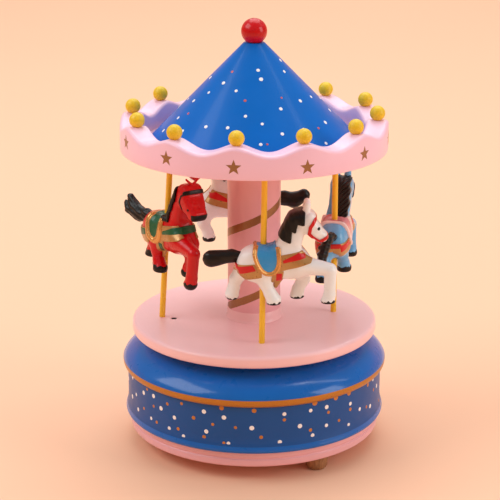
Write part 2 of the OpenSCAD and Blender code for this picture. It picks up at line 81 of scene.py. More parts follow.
# Canopy
CANOPY_Z, SEAT_Z = low("crown_ring")[2], high("crown_ring")[2]
CROWN_R, CROWN_INNER_R = high("crown_ring")[0], high("canopy_deck")[0]
CROWN_EDGE = 1.6
SCALLOPS, SCALLOP_DEPTH = 12, 3.5
BEAD_AZIMUTH = -7.7
CROWN_BEAD_R, CROWN_BEAD_SINK = 3.13, 0.5
STAR_R, STAR_WAIST = 3.15, 0.42
STAR_HEIGHT, STAR_HEIGHTS = 5.6, {0: 5.2, 1: 4.5, 2: 5.5, 10: 6.8, 11: 6.0}
ROOF_Z, ROOF_TOP = low("roof_cone")[2], high("roof_cone")[2]
ROOF_R, ROOF_TOP_R = high("roof_cone")[0], 4.2
FINIAL_R, TOP_Z = 5.34, high("roof_finial")[2]
# Horses
HOOVES_HEIGHT = 70.0
HOOF_Z = 1.4
# Steps round a turned part; grid steps of the horses' fittings and bodies
ROUND = 256
FINE = 0.22
BODY_STEP = 0.32


def polar(azimuth, r, z):
    """A point at an azimuth counted from the front (-Y) towards +X."""
    a = math.radians(azimuth)
    return Vector((r * math.sin(a), -r * math.cos(a), z))


# Poles: they stand in the disc on a circle, the first one askew and on top of the disc; heads in the canopy
POLE_PITCH_R = 34.2
POLE_SINK = 3.0
POLE_LENGTH, POLE_R = 79.6, 1.25
POLE_FEET = [Vector((-39.0, -2.3, DISC_TOP))]
POLE_FEET += [polar(azimuth, POLE_PITCH_R, DISC_TOP - POLE_SINK) for azimuth in (5.1, 97.8, 185.5)]
POLE_HEADS = [Vector((-34.2, -4.2, CANOPY_Z))]
POLE_HEADS += [polar(azimuth, POLE_PITCH_R, CANOPY_Z) for azimuth in (7.1, 97.8, 185.5)]
EMPTY_HOLE, EMPTY_HOLE_R = polar(-82.6, POLE_PITCH_R, 0), 1.3


# ---------------- materials

def srgb(r, g, b):
    """Linear colour of an sRGB triple from 0 to 255."""
    values = [c / 255 for c in (r, g, b)]
    linear = [c / 12.92 if c <= 0.04045 else ((c + 0.055) / 1.055) ** 2.4 for c in values]
    return (*linear, 1.0)


class Shader:
    """A node material built up step by step; positions come from object coordinates, in mm."""

    def __init__(self, name):
        self.material = bpy.data.materials.new(name)
        self.material.use_nodes = True
        self.tree = self.material.node_tree
        self.bsdf = self.tree.nodes["Principled BSDF"]
        coord = self.node("TexCoord")
        scale = self.node("VectorMath")
        scale.operation = "SCALE"
        scale.inputs["Scale"].default_value = 1 / MM
        self.link(coord.outputs["Object"], scale.inputs[0])
        self.place = scale.outputs[0]

    def node(self, kind, **values):
        """A new node with its named inputs set."""
        node = self.tree.nodes.new("ShaderNode" + kind)
        for name, value in values.items():
            node.inputs[name.replace("_", " ")].default_value = value
        return node

    def link(self, a, b):
        self.tree.links.new(a, b)

    def noise(self, size, detail=2.0, stretch=None, distortion=0.0):
        """Noise with features about `size` mm across."""
        place = self.place
        if stretch:
            mapping = self.node("Mapping", Scale=stretch)
            self.link(place, mapping.inputs["Vector"])
            place = mapping.outputs[0]
        node = self.node("TexNoise", Scale=1 / size, Detail=detail, Distortion=distortion)
        self.link(place, node.inputs["Vector"])
        return node.outputs["Fac"]

    def spread(self, value, low_in, high_in, low_out, high_out):
        node = self.node("MapRange", From_Min=low_in, From_Max=high_in, To_Min=low_out, To_Max=high_out)
        self.link(value, node.inputs["Value"])
        return node.outputs["Result"]

    def mix(self, factor, a, b):
        """Mixes two colours, each a tuple or a socket."""
        node = self.node("Mix")
        node.data_type = "RGBA"
        self.link(factor, node.inputs["Factor"])
        for value, socket in ((a, node.inputs["A"]), (b, node.inputs["B"])):
            if isinstance(value, tuple):
                socket.default_value = value
            else:
                self.link(value, socket)
        return node.outputs["Result"]

    def color(self, value):
        self.link(value, self.bsdf.inputs["Base Color"])

    def roughness(self, noise, low_out, high_out, low_in=0.3, high_in=0.7):
        """Roughness that follows a noise over the middle of its range."""
        self.link(self.spread(noise, low_in, high_in, low_out, high_out), self.bsdf.inputs["Roughness"])

    def bump(self, height, distance):
        """Bump from a 0..1 height; distance in mm."""
        node = self.node("Bump", Distance=distance * MM)
        self.link(height, node.inputs["Height"])
        self.link(node.outputs["Normal"], self.bsdf.inputs["Normal"])

    def set(self, **values):
        for name, value in values.items():
            self.bsdf.inputs[name.replace("_", " ")].default_value = value


def shade(color, factor):
    return tuple(min(1.0, c * factor) for c in color[:3]) + (1.0,)


def paint(name, color, rough, coat, variation, ripple, ripple_size, gloss):
    """Brushed or sprayed lacquer: slight colour drift, uneven gloss and a soft ripple."""
    s = Shader(name)
    drift = s.noise(14, detail=3)
    s.color(s.mix(drift, shade(color, 1 - variation), shade(color, 1 + variation)))
    s.roughness(s.noise(5, detail=3), rough - 0.05, rough + 0.06)
    s.bump(s.noise(ripple_size, detail=1), ripple)
    s.set(Coat_Weight=coat, Coat_Roughness=0.12, IOR=1.5, Specular_IOR_Level=gloss)
    return s.material


def gold_paint(name, color, rough, flake, metallic):
    """Metallic gold-brown paint with fine flakes."""
    s = Shader(name)
    flakes = s.noise(0.35, detail=3)
    s.color(s.mix(flakes, shade(color, 1 - flake), shade(color, 1 + flake)))
    s.roughness(s.noise(1.5), rough - 0.08, rough + 0.1)
    s.bump(flakes, 0.008)
    s.set(Metallic=metallic, Coat_Weight=0.35, Coat_Roughness=0.15)
    return s.material


def bead_paint(name, color):
    """Matt paint on a small turned ball: the wood's dark flecks show through."""
    s = Shader(name)
    flecks = s.spread(s.noise(0.9, detail=5, distortion=0.6), 0.42, 0.62, 0, 1)
    patches = s.mix(s.noise(2.4, detail=3), shade(color, 0.93), shade(color, 1.06))
    s.color(s.mix(flecks, patches, shade(color, 0.86)))
    s.roughness(flecks, 0.42, 0.62, 0, 1)
    s.bump(s.noise(0.8, detail=4), 0.035)
    s.set(Coat_Weight=0.15, Coat_Roughness=0.3)
    return s.material


def natural_wood(name, light, dark):
    """Varnished wood with growth lines that run up the piece."""
    s = Shader(name)
    lines = s.noise(1.1, detail=5, stretch=(1, 1, 0.14), distortion=1.2)
    s.color(s.mix(s.spread(lines, 0.35, 0.65, 0, 1), dark, light))
    s.roughness(lines, 0.55, 0.4)
    s.bump(lines, 0.05)
    s.set(Coat_Weight=0.2, Coat_Roughness=0.25)
    return s.material


def metal(name, color, rough, brush):
    """Turned or brushed metal with fine tool lines, `brush` times as close up the piece as round it."""
    s = Shader(name)
    lines = s.noise(0.5, detail=4, stretch=(1, 1, brush))
    s.color(s.mix(s.noise(6, detail=3), shade(color, 0.85), shade(color, 1.08)))
    s.roughness(lines, rough - 0.08, rough + 0.12)
    s.bump(lines, 0.01)
    s.set(Metallic=1.0)
    return s.material


# sRGB colour, roughness, clear coat, drift of the colour, depth and size of the ripple in mm, gloss
PAINTS = {
    "base_blue": ((0, 102, 194), 0.3, 0.6, 0.08, 0.015, 6, 0.15),
    "waist_blue": ((14, 82, 156), 0.42, 0.16, 0.08, 0.015, 4, 0.25),
    "roof_blue": ((2, 106, 200), 0.34, 0.16, 0.08, 0.01, 8, 0.12),
    "pink": ((253, 206, 209), 0.4, 0.45, 0.025, 0.02, 9, 0.35),
    # A lighter, bluer copy of the pink for the crown ring: painted light
    "lit_crown_pink": ((253, 209, 231), 0.4, 0.3, 0.025, 0.02, 9, 0.35),
    # A darker copy of the pink: painted shade, for the column under the crown and the bottom plate near the
    # floor
    "shaded_pink": ((240, 182, 190), 0.42, 0.3, 0.03, 0.02, 9, 0.35),
    "white_dot": ((252, 253, 255), 0.35, 0.4, 0.01, 0.01, 2.5, 0.35),
    "orange_dot": ((200, 124, 42), 0.4, 0.3, 0.1, 0.01, 2.5, 0.35),
    "red_dot": ((206, 92, 84), 0.4, 0.3, 0.1, 0.01, 2.5, 0.35),
    "finial_red": ((204, 2, 14), 0.25, 0.4, 0.08, 0.01, 2.5, 0.2),
    "pole_yellow": ((246, 196, 36), 0.3, 0.5, 0.08, 0.02, 2.5, 0.35),
    "nylon": ((232, 228, 216), 0.5, 0.0, 0.02, 0.02, 2.5, 0.35),
    "horse_white": ((242, 250, 254), 0.3, 0.5, 0.03, 0.09, 2, 0.35),
    "horse_red": ((204, 4, 16), 0.3, 0.3, 0.12, 0.09, 2, 0.25),
    "horse_blue": ((104, 178, 230), 0.28, 0.5, 0.1, 0.09, 2, 0.35),
    "black": ((4, 3, 3), 0.36, 0.12, 0.3, 0.06, 1, 0.3),
    "dark_brown": ((16, 8, 5), 0.36, 0.12, 0.35, 0.06, 1, 0.3),
    "saddle_blue": ((52, 150, 214), 0.28, 0.4, 0.1, 0.06, 1.5, 0.35),
    "saddle_green": ((8, 92, 56), 0.3, 0.3, 0.15, 0.06, 1.5, 0.35),
    "saddle_pink": ((222, 142, 150), 0.3, 0.6, 0.1, 0.06, 1.5, 0.35),
    "strap_red": ((206, 10, 18), 0.3, 0.25, 0.1, 0.04, 1, 0.35),
    "strap_green": ((6, 90, 52), 0.3, 0.25, 0.1, 0.04, 1, 0.35),
    "rim_pink": ((250, 226, 224), 0.3, 0.6, 0.06, 0.03, 2.5, 0.35),
}
# sRGB colour, roughness, contrast of the flakes, metal share
GOLDS = {
    "gold": ((158, 110, 66), 0.38, 0.28, 0.45),
    "gold_line": ((190, 124, 30), 0.38, 0.28, 0.45),
    "rim_gold": ((216, 160, 88), 0.2, 0.1, 0.6),
    "strap_gold": ((186, 142, 82), 0.34, 0.16, 0.45),
}
# Linear colour, roughness, closeness of the tool lines
METALS = {
    "brass": ((0.80, 0.58, 0.24), 0.3, 6),
    "steel": ((0.58, 0.58, 0.6), 0.28, 6),
    "blued_steel": ((0.16, 0.19, 0.27), 0.3, 6),
    "zinc": ((0.42, 0.40, 0.35), 0.5, 1),
}
MATERIALS = {name: paint(name, srgb(*color), *looks) for name, (color, *looks) in PAINTS.items()}
MATERIALS |= {name: gold_paint(name, srgb(*color), *looks) for name, (color, *looks) in GOLDS.items()}
MATERIALS |= {name: metal(name, *looks) for name, looks in METALS.items()}
MATERIALS["bead_yellow"] = bead_paint("bead_yellow", srgb(246, 206, 24))
MATERIALS["foot_wood"] = natural_wood("foot_wood", srgb(176, 128, 84), srgb(120, 80, 48))


# ---------------- mesh building: a mesh is (points, faces)

def linked(name, data):
    """A new object in the scene."""
    obj = bpy.data.objects.new(name, data)
    bpy.context.scene.collection.objects.link(obj)
    return obj


def mesh_data(name, mesh):
    """Blender's mesh from points in mm."""
    points, faces = mesh
    data = bpy.data.meshes.new(name)
    data.from_pydata([tuple(c * MM for c in p) for p in points], [], faces)
    return data


def piece(name, mesh, material, body="carousel", smooth_angle=40, replaces=(), slot=None):
    """A mesh object which rides on a body."""
    data = mesh_data(name, mesh)
    data.validate()
    obj = linked(name, data)
    data.shade_smooth()
    data.set_sharp_from_angle(angle=math.radians(smooth_angle))
    data.materials.append(MATERIALS[material])
    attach(obj, body)
    if replaces:
        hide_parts(*replaces)
    return obj


def lathe(profile, segments=ROUND, closed=False):
    """The mesh of an outline (r, z) turned about Z. Points on the axis are shared."""
    points, rings = [], []
    for r, z in profile:
        if r < 1e-6:
            rings.append([len(points)] * segments)
            points.append((0, 0, z))
        else:
            rings.append(list(range(len(points), len(points) + segments)))
            for k in range(segments):
                a = 2 * math.pi * k / segments
                points.append((r * math.cos(a), r * math.sin(a), z))
    faces = []
    pairs = list(zip(rings, rings[1:]))
    if closed:
        pairs.append((rings[-1], rings[0]))
    for a, b in pairs:
        for k in range(segments):
            n = (k + 1) % segments
            face = list(dict.fromkeys((a[k], a[n], b[n], b[k])))
            if len(face) > 2:
                faces.append(face)
    return points, faces


def moved(mesh, matrix):
    points, faces = mesh
    return [matrix @ Vector(p) for p in points], faces


def round_corner(corner, before, after, radius, steps=6):
    """Points of an arc that rounds an outline's corner."""
    c, a, b = Vector(corner), Vector(before), Vector(after)
    u, v = (a - c).normalized(), (b - c).normalized()
    half = u.angle(v) / 2
    reach = radius / math.tan(half)
    centre = c + (u + v).normalized() * (radius / math.sin(half))
    start, end = c + u * reach - centre, c + v * reach - centre
    sweep = start.angle(end)
    arc = []
    for k in range(steps + 1):
        t = k / steps
        w = (start * math.sin((1 - t) * sweep) + end * math.sin(t * sweep)) / math.sin(sweep)
        arc.append(tuple(centre + w))
    return arc


def rounded(corners, radii):
    """An outline whose corners are rounded, each by its radius (0 keeps the point)."""
    result = []
    for k, corner in enumerate(corners):
        if radii[k]:
            result += round_corner(corner, corners[k - 1], corners[k + 1], radii[k])
        else:
            result.append(tuple(corner))
    return result


def ball(centre, radius, bottom, rows=24, columns=32):
    """A ball cut flat at the height `bottom` times its radius."""
    start = math.asin(bottom)
    profile = [(0, radius * bottom)]
    for k in range(rows):
        a = start + (math.pi / 2 - start) * k / rows
        profile.append((radius * math.cos(a), radius * math.sin(a)))
    profile.append((0, radius))
    return moved(lathe(profile, columns), Matrix.Translation(centre))


def joined(parts):
    """One mesh from several."""
    points, faces = [], []
    for part_points, part_faces in parts:
        base = len(points)
        points += list(part_points)
        faces += [[i + base for i in f] for f in part_faces]
    return points, faces


# ---------------- base

def waist_r(z):
    """Radius of the drum's waist: almost straight, with a cove that flares out to the lower bead."""
    flare = max(0.0, (COVE_TOP - z) / COVE_HEIGHT)
    return WAIST_R + COVE_FLARE * min(flare, 1) ** 2.2


def build_drum():
    """The drum: a bead below, the waist in its duller blue, and a full lip that runs in under the disc."""
    bead_z = PLATE_TOP + BEAD_R
    lower = [(CAVITY_R, PLATE_TOP)]
    for a in range(-90, 31, 10):
        turn = math.radians(a)
        lower.append((BEAD_CENTRE_R + BEAD_R * math.cos(turn), bead_z + BEAD_R * math.sin(turn)))
    waist = [(waist_r(z), z) for z in np.linspace(bead_z + 0.8, LIP_Z - 2.75, 22)]
    rim = [(LIP_R + dr, LIP_Z + dz) for dr, dz in RIM]
    lip, steps, power = [], 40, 2 / LIP_FULLNESS
    for k in range(1, steps + 1):
        a = math.pi / 2 * k / steps
        out, up = max(math.cos(a), 0) ** power, math.sin(a) ** power
        lip.append((LIP_TOP_R + (LIP_R - LIP_TOP_R) * out, LIP_Z + (LIP_TOP_Z - LIP_Z) * up))
    deck = [(DECK_EDGE_R, DECK_Z), (SPINDLE_HOLE_R, DECK_Z)]
    ceiling = [(SPINDLE_HOLE_R, CAVITY_TOP), (CAVITY_R, CAVITY_TOP)]
    mesh = lathe(lower + waist + rim + lip + deck + ceiling, closed=True)
    drum = piece("base_drum_painted", mesh, "base_blue", "base", 50, ["base_drum"], "blue_paint")
    drum.data.materials.append(MATERIALS["waist_blue"])
    first, last = len(lower) + 1, len(lower) + len(waist) - 1
    for k, face in enumerate(drum.data.polygons):
        face.material_index = 1 if first <= k // ROUND < last else 0


def build_gold_line():
    """A closed band just outside the lip's underside."""
    lift = 0.06
    line = [(LIP_R + dr + min(lift, -dr + 0.02), LIP_Z + dz - lift) for dr, dz in RIM]
    line += [(LIP_R - 0.05, LIP_Z + 0.5), (LIP_R - 0.7, LIP_Z + 0.4), (LIP_R - 0.9, LIP_Z - 1.8)]
    piece("base_gold_line", lathe(line, closed=True), "gold_line", "base", 60)


def build_plate():
    """The bottom plate, with a shallow groove round its edge."""
    groove_z, steps = PLATE_Z + 3.5, 12
    below, above = (PLATE_R, PLATE_Z), (PLATE_R, PLATE_TOP)
    plate = [(0, PLATE_Z)] + round_corner(below, (0, PLATE_Z), above, 0.9)
    for k in range(steps + 1):
        t = k / steps
        depth = GROOVE_DEPTH * math.sin(math.pi * t) ** 2
        plate.append((PLATE_R - depth, groove_z + GROOVE_HALF * (2 * t - 1)))
    plate += round_corner(above, below, (0, PLATE_TOP), 0.5) + [(0, PLATE_TOP)]
    # The plate is in the darker copy of the pink, which is painted shade
    piece("bottom_plate_painted", lathe(plate), "shaded_pink", "base", 40, ["bottom_plate"], "pink_paint")


def build_feet():
    for k in (1, 2, 3):
        node = f"foot_{k}"
        a, b = low(node), high(node)
        r, h = (b[0] - a[0]) / 2, b[2]
        corners = [(0, 0), (r - 1.1, 0), (r - 0.25, 1.6), (r, h - 0.8), (r, h), (0, h)]
        centre = Matrix.Translation(((a[0] + b[0]) / 2, (a[1] + b[1]) / 2, 0))
        mesh = moved(lathe(rounded(corners, [0, 0.7, 0.8, 0.4, 0, 0]), 64), centre)
        piece(f"{node}_turned", mesh, "foot_wood", "base", 40, [node], "natural_wood")


# ---------------- painted dots and stars

def dot(place, normal, radius, height=0.07, sides=14):
    """A flat drop of paint on a surface, with a domed edge."""
    normal = normal.normalized()
    side = normal.orthogonal().normalized()
    up = normal.cross(side)
    points, faces = [], []
    for scale, lift in ((1.0, -0.08), (0.93, 0.6 * height), (0.6, height)):
        for k in range(sides):
            a = 2 * math.pi * k / sides
            offset = (side * math.cos(a) + up * math.sin(a)) * radius * scale
            points.append(place + offset + normal * lift)
    for start in (0, sides):
        for k in range(sides):
            a, b = start + k, start + (k + 1) % sides
            faces.append([a, b, b + sides, a + sides])
    faces.append([2 * sides + k for k in range(sides)])
    faces.append(list(reversed(range(sides))))
    return points, faces


# Dots round the waist at (azimuth, height), and on the roof at (azimuth, distance from the axis)
BASE_WHITE = [
    (-71, 31.5), (-58, 29), (-50, 30), (-66, 25.5), (-72, 22.5), (-45, 26), (-64, 19.5), (-37, 24),
    (-52, 19.5), (-40, 18.5), (-22, 29.5), (-13, 28), (-21, 21), (-11, 17), (-32, 17), (-1, 24),
    (13, 29.5), (11, 17.5), (25, 29.5), (33, 29.5), (20, 23.5), (26, 18.5), (33, 21.5), (47, 27.5),
    (46, 18.5), (54, 23), (64, 21), (67, 32), (73, 27), (84, 22), (-82, 27),
]
BASE_ORANGE = [
    (-55, 31.5), (-41, 29), (-50, 25.5), (-58, 22), (-33, 31), (-27, 26), (-48, 19), (-35, 19.5),
    (-18, 24.5), (-22, 18.5), (-13, 17), (-8, 24), (3, 20), (13, 27), (25, 21), (34, 27),
    (40, 22), (47, 25), (60, 22), (61, 31.5), (68, 27), (79, 18), (-86, 19),
]
BASE_DRIPS = [(-14, 32), (0, 31.5), (27, 32.5), (38, 32.5), (46, 32.5)]
ROOF_WHITE = [
    (7, 13), (10, 16), (-104, 11), (57, 14.5), (-43, 18), (-21, 20), (-56, 22), (-70, 26), (-82, 18),
    (49, 24.5), (70, 24.5), (24, 26), (-7, 28), (6, 30.5), (19, 34), (-36, 32.5), (-19, 32), (-71, 32.5),
    (36, 33.5), (60, 33), (47, 39), (4, 37), (-76, 38), (-54, 35.5), (84, 31), (-88, 27),
]
ROOF_RED = [(-39, 14), (-9, 23), (29, 22.5), (49, 34), (8, 37), (-62, 30)]
# Material, places, radius
BASE_DOTS = [("white_dot", BASE_WHITE, 0.92), ("orange_dot", BASE_ORANGE, 0.78)]
BASE_DOTS += [("orange_dot", BASE_DRIPS, 1.15)]
ROOF_DOTS = [("white_dot", ROOF_WHITE, 0.78), ("red_dot", ROOF_RED, 0.55)]


def on_waist(azimuth, z):
    return polar(azimuth, waist_r(z), z), polar(azimuth, 1, 0)


def on_roof(azimuth, r):
    slope = (ROOF_R - ROOF_TOP_R) / (ROOF_TOP - ROOF_Z)
    place = polar(azimuth, r, ROOF_Z + (ROOF_R - r) / slope)
    return place, polar(azimuth, 1, 0) + Vector((0, 0, slope))


def build_dots(prefix, body, rows, seat, seed, spread):
    """Dots put on by hand; the back has the same ones as the front. seat gives a dot's place and normal."""
    rng = random.Random(seed)
    groups = {}
    for name, spots, radius in rows:
        for azimuth, other in spots:
            for turn in (0, 180):
                size = radius * rng.uniform(1 - spread, 1 + spread)
                groups.setdefault(name, []).append(dot(*seat(azimuth + turn, other), size))
    for name, dots in groups.items():
        piece(f"{prefix}_dots_{name}", joined(dots), name, body, 50)


def star(azimuth, r, z):
    """A painted five-pointed star that lies on the ring's outer wall."""
    rows, sides = 5, 10
    points, faces = [], []
    for ring in range(rows + 1):
        for k in range(sides):
            reach = STAR_R * (STAR_WAIST if k % 2 else 1.0) * (ring / rows)
            a = math.pi / 2 + k * math.pi / 5
            u, v = reach * math.cos(a), reach * math.sin(a)
            points.append(polar(azimuth + math.degrees(u / r), r + 0.05, z + v))
    for p in points[-sides:]:
        points.append(p - Vector((p.x, p.y, 0)).normalized() * 0.2)
    for ring in range(rows):
        for k in range(sides):
            a, b = ring * sides + k, ring * sides + (k + 1) % sides
            faces.append([a, a + sides, b + sides, b] if ring else [a, a + sides, b + sides])
    for k in range(sides):
        a, b = rows * sides + k, rows * sides + (k + 1) % sides
        faces.append([a, a + sides, b + sides, b])
    return points, faces


# ---------------- carousel: disc, column, poles

def build_disc():
    corners = [(0, DISC_Z), (DISC_R, DISC_Z), (DISC_R, DISC_TOP), (0, DISC_TOP)]
    outline = rounded(corners, [0, DISC_EDGE, DISC_EDGE, 0])
    rings = [(r, DISC_TOP) for r in (48, 44, 40, 36, 33, 30, 26, 20, 10)]
    mesh = lathe(outline[:-1] + rings + outline[-1:])
    disc = piece("turntable_painted", mesh, "pink", replaces=["turntable_disc"], slot="pink_paint")
    place = Matrix.Translation(EMPTY_HOLE + Vector((0, 0, DISC_TOP)))
    r, depth, wall = EMPTY_HOLE_R, 3, 0.04
    cut_out(disc, moved(lathe([(0, -depth), (r, -depth), (r, 1), (0, 1)], 32), place))
    # A black lining in the empty hole: painted shade
    shade_lining = [(0, wall - depth), (r - 0.03, wall - depth), (r - 0.01, -0.35), (r - wall, -0.35)]
    shade_lining += [(r - 0.06, 0.1 - depth), (0, 0.1 - depth)]
    piece("empty_pole_hole_shade", moved(lathe(shade_lining, 32), place), "black")


def cut_out(obj, mesh):
    """Cuts a closed shape out of a piece, with the cutter removed afterwards."""
    data = mesh_data("cutter", mesh)
    cutter = linked("cutter", data)
    modifier = obj.modifiers.new("cut", "BOOLEAN")
    modifier.operation = "DIFFERENCE"
    modifier.solver = "EXACT"
    modifier.object = cutter
    graph = bpy.context.evaluated_depsgraph_get()
    result = bpy.data.meshes.new_from_object(obj.evaluated_get(graph))
    obj.modifiers.clear()
    old = obj.data
    obj.data = result
    bpy.data.meshes.remove(old)
    bpy.data.objects.remove(cutter)
    bpy.data.meshes.remove(data)


def build_column():
    """The column's shaft in painted shade (a darker copy of the pink) with its spiral band, and the ring
    that it stands in, in the plain pink.
    """
    heights = (DISC_TOP, DISC_TOP + 20, CANOPY_Z)
    shaft = lathe([(0, DISC_TOP)] + [(COLUMN_R, z) for z in heights] + [(0, CANOPY_Z)], 128)
    piece("column_painted", shaft, "shaded_pink", replaces=["column"], slot="pink_paint")
    ring = [(-1, 0), (0.75, 0), (0.72, 0.35), (0.45, 0.7), (0.3, 1.2), (0.28, 4.2), (0.15, 4.4), (-1, 4.4)]
    foot = lathe([(COLUMN_R + r, DISC_TOP + z) for r, z in ring], 128, closed=True)
    piece("column_foot", foot, "pink")
    band = helix_band(COLUMN_R, DISC_TOP, CANOPY_Z, STRIPE_PITCH, STRIPE_WIDTH)
    piece("column_stripe", band, "gold", "carousel", 50)


def helix_band(r, z_low, z_high, pitch, width, lift=0.06):
    """A painted spiral stripe: it rises by `pitch` a turn to the right, and is cut off at both ends."""
    per_turn, across = 96, 4
    first = math.floor((z_low - width) / pitch * per_turn)
    last = math.ceil((z_high + width) / pitch * per_turn)
    points, faces, columns = [], [], []
    rng = random.Random(3)
    wobble = [rng.uniform(-0.1, 0.1) for _ in range(last - first + 2)]
    for k in range(first, last + 1):
        column = []
        for m in range(across + 1):
            z = pitch * k / per_turn + (width + wobble[k - first]) * (m / across - 0.5)
            z = min(max(z, z_low + 0.02), z_high - 0.02)
            column.append(len(points))
            points.append(polar(360 * k / per_turn, r + lift * (0.4 if m in (0, across) else 1), z))
        columns.append(column)
    for a, b in zip(columns, columns[1:]):
        for m in range(across):
            quad = [a[m], b[m], b[m + 1], a[m + 1]]
            if len({round(points[i].z, 3) for i in quad}) > 1:
                faces.append(quad)
    return points, faces


def pole_frame(index):
    """The matrix from a pole's own frame (foot at the origin, +Z up the pole) to the model's, in mm."""
    foot, head = POLE_FEET[index], POLE_HEADS[index]
    turn = Vector((0, 0, 1)).rotation_difference((head - foot).normalized())
    return Matrix.Translation(foot) @ turn.to_matrix().to_4x4()


def build_poles():
    for index in range(4):
        rng = random.Random(20 + index)
        profile = [(0, 0), (POLE_R - 0.15, 0.02), (POLE_R, 0.2)]
        for k in range(1, 40):
            profile.append((POLE_R + rng.uniform(-0.02, 0.02), POLE_LENGTH * k / 40))
        profile += [(POLE_R, POLE_LENGTH - 0.2), (0, POLE_LENGTH)]
        node = f"pole_{index + 1}"
        mesh = moved(lathe(profile, 32), pole_frame(index))
        piece(f"{node}_painted", mesh, "pole_yellow", replaces=[node], slot="pole_paint")


# ---------------- canopy

def crown_top(azimuth):
    """Height of the crown's wavy top: a crest under each bead, a hollow between two beads."""
    turn = (azimuth - BEAD_AZIMUTH) * SCALLOPS
    wave = (1 - math.cos(math.radians(turn))) / 2
    return SEAT_Z - SCALLOP_DEPTH * wave ** 0.85


def build_crown():
    """The pink ring: a flat underside, and a wavy top whose edges are rounded."""
    columns, edge = 720, CROWN_EDGE
    turns = [math.radians(a) for a in range(0, 91, 15)]
    radii = [CROWN_R - edge * (1 - math.cos(a)) for a in turns]
    radii += list(np.linspace(CROWN_R - edge, CROWN_INNER_R + edge, 6))[1:-1]
    radii += [CROWN_INNER_R + edge * (1 - math.sin(a)) for a in turns]
    below = [(CROWN_INNER_R, CANOPY_Z + 0.3), (CROWN_INNER_R + 0.3, CANOPY_Z), (CROWN_R - 0.5, CANOPY_Z)]
    below += [(CROWN_R - 0.12, CANOPY_Z + 0.14), (CROWN_R, CANOPY_Z + 0.5), (CROWN_R, CANOPY_Z + 5)]
    points, faces = [], []
    for k in range(columns):
        azimuth = 360 * k / columns
        points += [polar(azimuth, r, z) for r, z in below]
        for r in radii:
            out = max(0.0, edge - (CROWN_R - r), edge - (r - CROWN_INNER_R))
            drop = edge - math.sqrt(max(0.0, edge ** 2 - out ** 2))
            points.append(polar(azimuth, r, crown_top(azimuth) - drop))
    rows = len(below) + len(radii)
    for k in range(columns):
        a, b = k * rows, (k + 1) % columns * rows
        for m in range(rows):
            n = (m + 1) % rows
            faces.append([a + m, b + m, b + n, a + n])
    # The ring is in the lighter, bluer copy of the pink, which is painted light
    piece("crown_ring_painted", (points, faces), "lit_crown_pink", "carousel", 60, ["crown_ring"], "pink_paint")


def build_beads_and_stars():
    """The yellow balls on the crests, and a star below each of them."""
    stars = []
    for k in range(SCALLOPS):
        azimuth = BEAD_AZIMUTH + 360 / SCALLOPS * k
        stars.append(star(azimuth - 0.5, CROWN_R, CANOPY_Z + STAR_HEIGHTS.get(k, STAR_HEIGHT)))
        node = f"crown_bead_{k + 1:02d}"
        middle = polar(azimuth, (CROWN_R + CROWN_INNER_R) / 2, SEAT_Z + CROWN_BEAD_R - CROWN_BEAD_SINK)
        mesh = ball(middle, CROWN_BEAD_R, -0.86)
        piece(f"{node}_painted", mesh, "bead_yellow", "carousel", 60, [node], "yellow_paint")
    piece("crown_stars", joined(stars), "gold", "carousel", 50)


def build_roof():
    corners = [(0, ROOF_Z), (ROOF_R, ROOF_Z), (ROOF_TOP_R, ROOF_TOP), (0, ROOF_TOP)]
    outline = rounded(corners, [0, 0.5, 1.0, 0])
    dense = [outline[0]]
    for a, b in zip(outline, outline[1:]):
        steps = max(1, int(math.dist(a, b) / 5))
        for k in range(1, steps + 1):
            dense.append((a[0] + (b[0] - a[0]) * k / steps, a[1] + (b[1] - a[1]) * k / steps))
    piece("roof_cone_painted", lathe(dense), "roof_blue", replaces=["roof_cone"], slot="blue_paint")
    cut = (ROOF_TOP - TOP_Z + FINIAL_R) / FINIAL_R
    finial = ball(Vector((0, 0, TOP_Z - FINIAL_R)), FINIAL_R, cut, 40, 64)
    piece("roof_finial_painted", finial, "finial_red", "carousel", 60, ["roof_finial"], "red_paint")


# ---------------- horses: distance fields, in a horse's own frame
# +X is forward, +Y to the horse's left, +Z up from the hooves' plane, the origin on the pole's axis.
# p is an array of points; a and b are the ends of a limb, r its radii and w its half widths there.

def xyz(p):
    return p[..., 0], p[..., 1], p[..., 2]


def limb(p, a, b, ra, rb, squash=1.0):
    """Distance to a tapered limb with round ends; squash below 1 makes it narrower across."""
    scale = np.array([1, 1 / squash, 1], np.float32)
    start = np.array(a, np.float32) * scale
    axis = np.array(b, np.float32) * scale - start
    q = p * scale - start
    t = np.clip(q @ axis / max(float(axis @ axis), 1e-9), 0, 1)
    return np.linalg.norm(q - t[..., None] * axis, axis=-1) - (ra + (rb - ra) * t)


def merge(a, b, k):
    """Smooth union of two distances; k is the blend's size."""
    h = np.clip(0.5 + 0.5 * (b - a) / k, 0, 1)
    return b + (a - b) * h - k * h * (1 - h)


def overlap(a, b, k):
    """Smooth intersection."""
    return -merge(-a, -b, k)


def chain(p, knots, k, squash):
    """Limbs from knot to knot, each (x, y, z, r)."""
    d = None
    for a, b in zip(knots, knots[1:]):
        part = limb(p, a[:3], b[:3], a[3], b[3], squash)
        d = part if d is None else merge(d, part, k)
    return d


def to_edge(x, z, a, b):
    """Squared distance to a straight edge in the side view."""
    ex, ez = b[0] - a[0], b[1] - a[1]
    wx, wz = x - a[0], z - a[1]
    t = np.clip((wx * ex + wz * ez) / (ex * ex + ez * ez), 0, 1)
    return (wx - ex * t) ** 2 + (wz - ez * t) ** 2


def line_2d(x, z, corners):
    """Distance to an open line in the side view."""
    return np.sqrt(np.minimum.reduce([to_edge(x, z, a, b) for a, b in zip(corners, corners[1:])]))


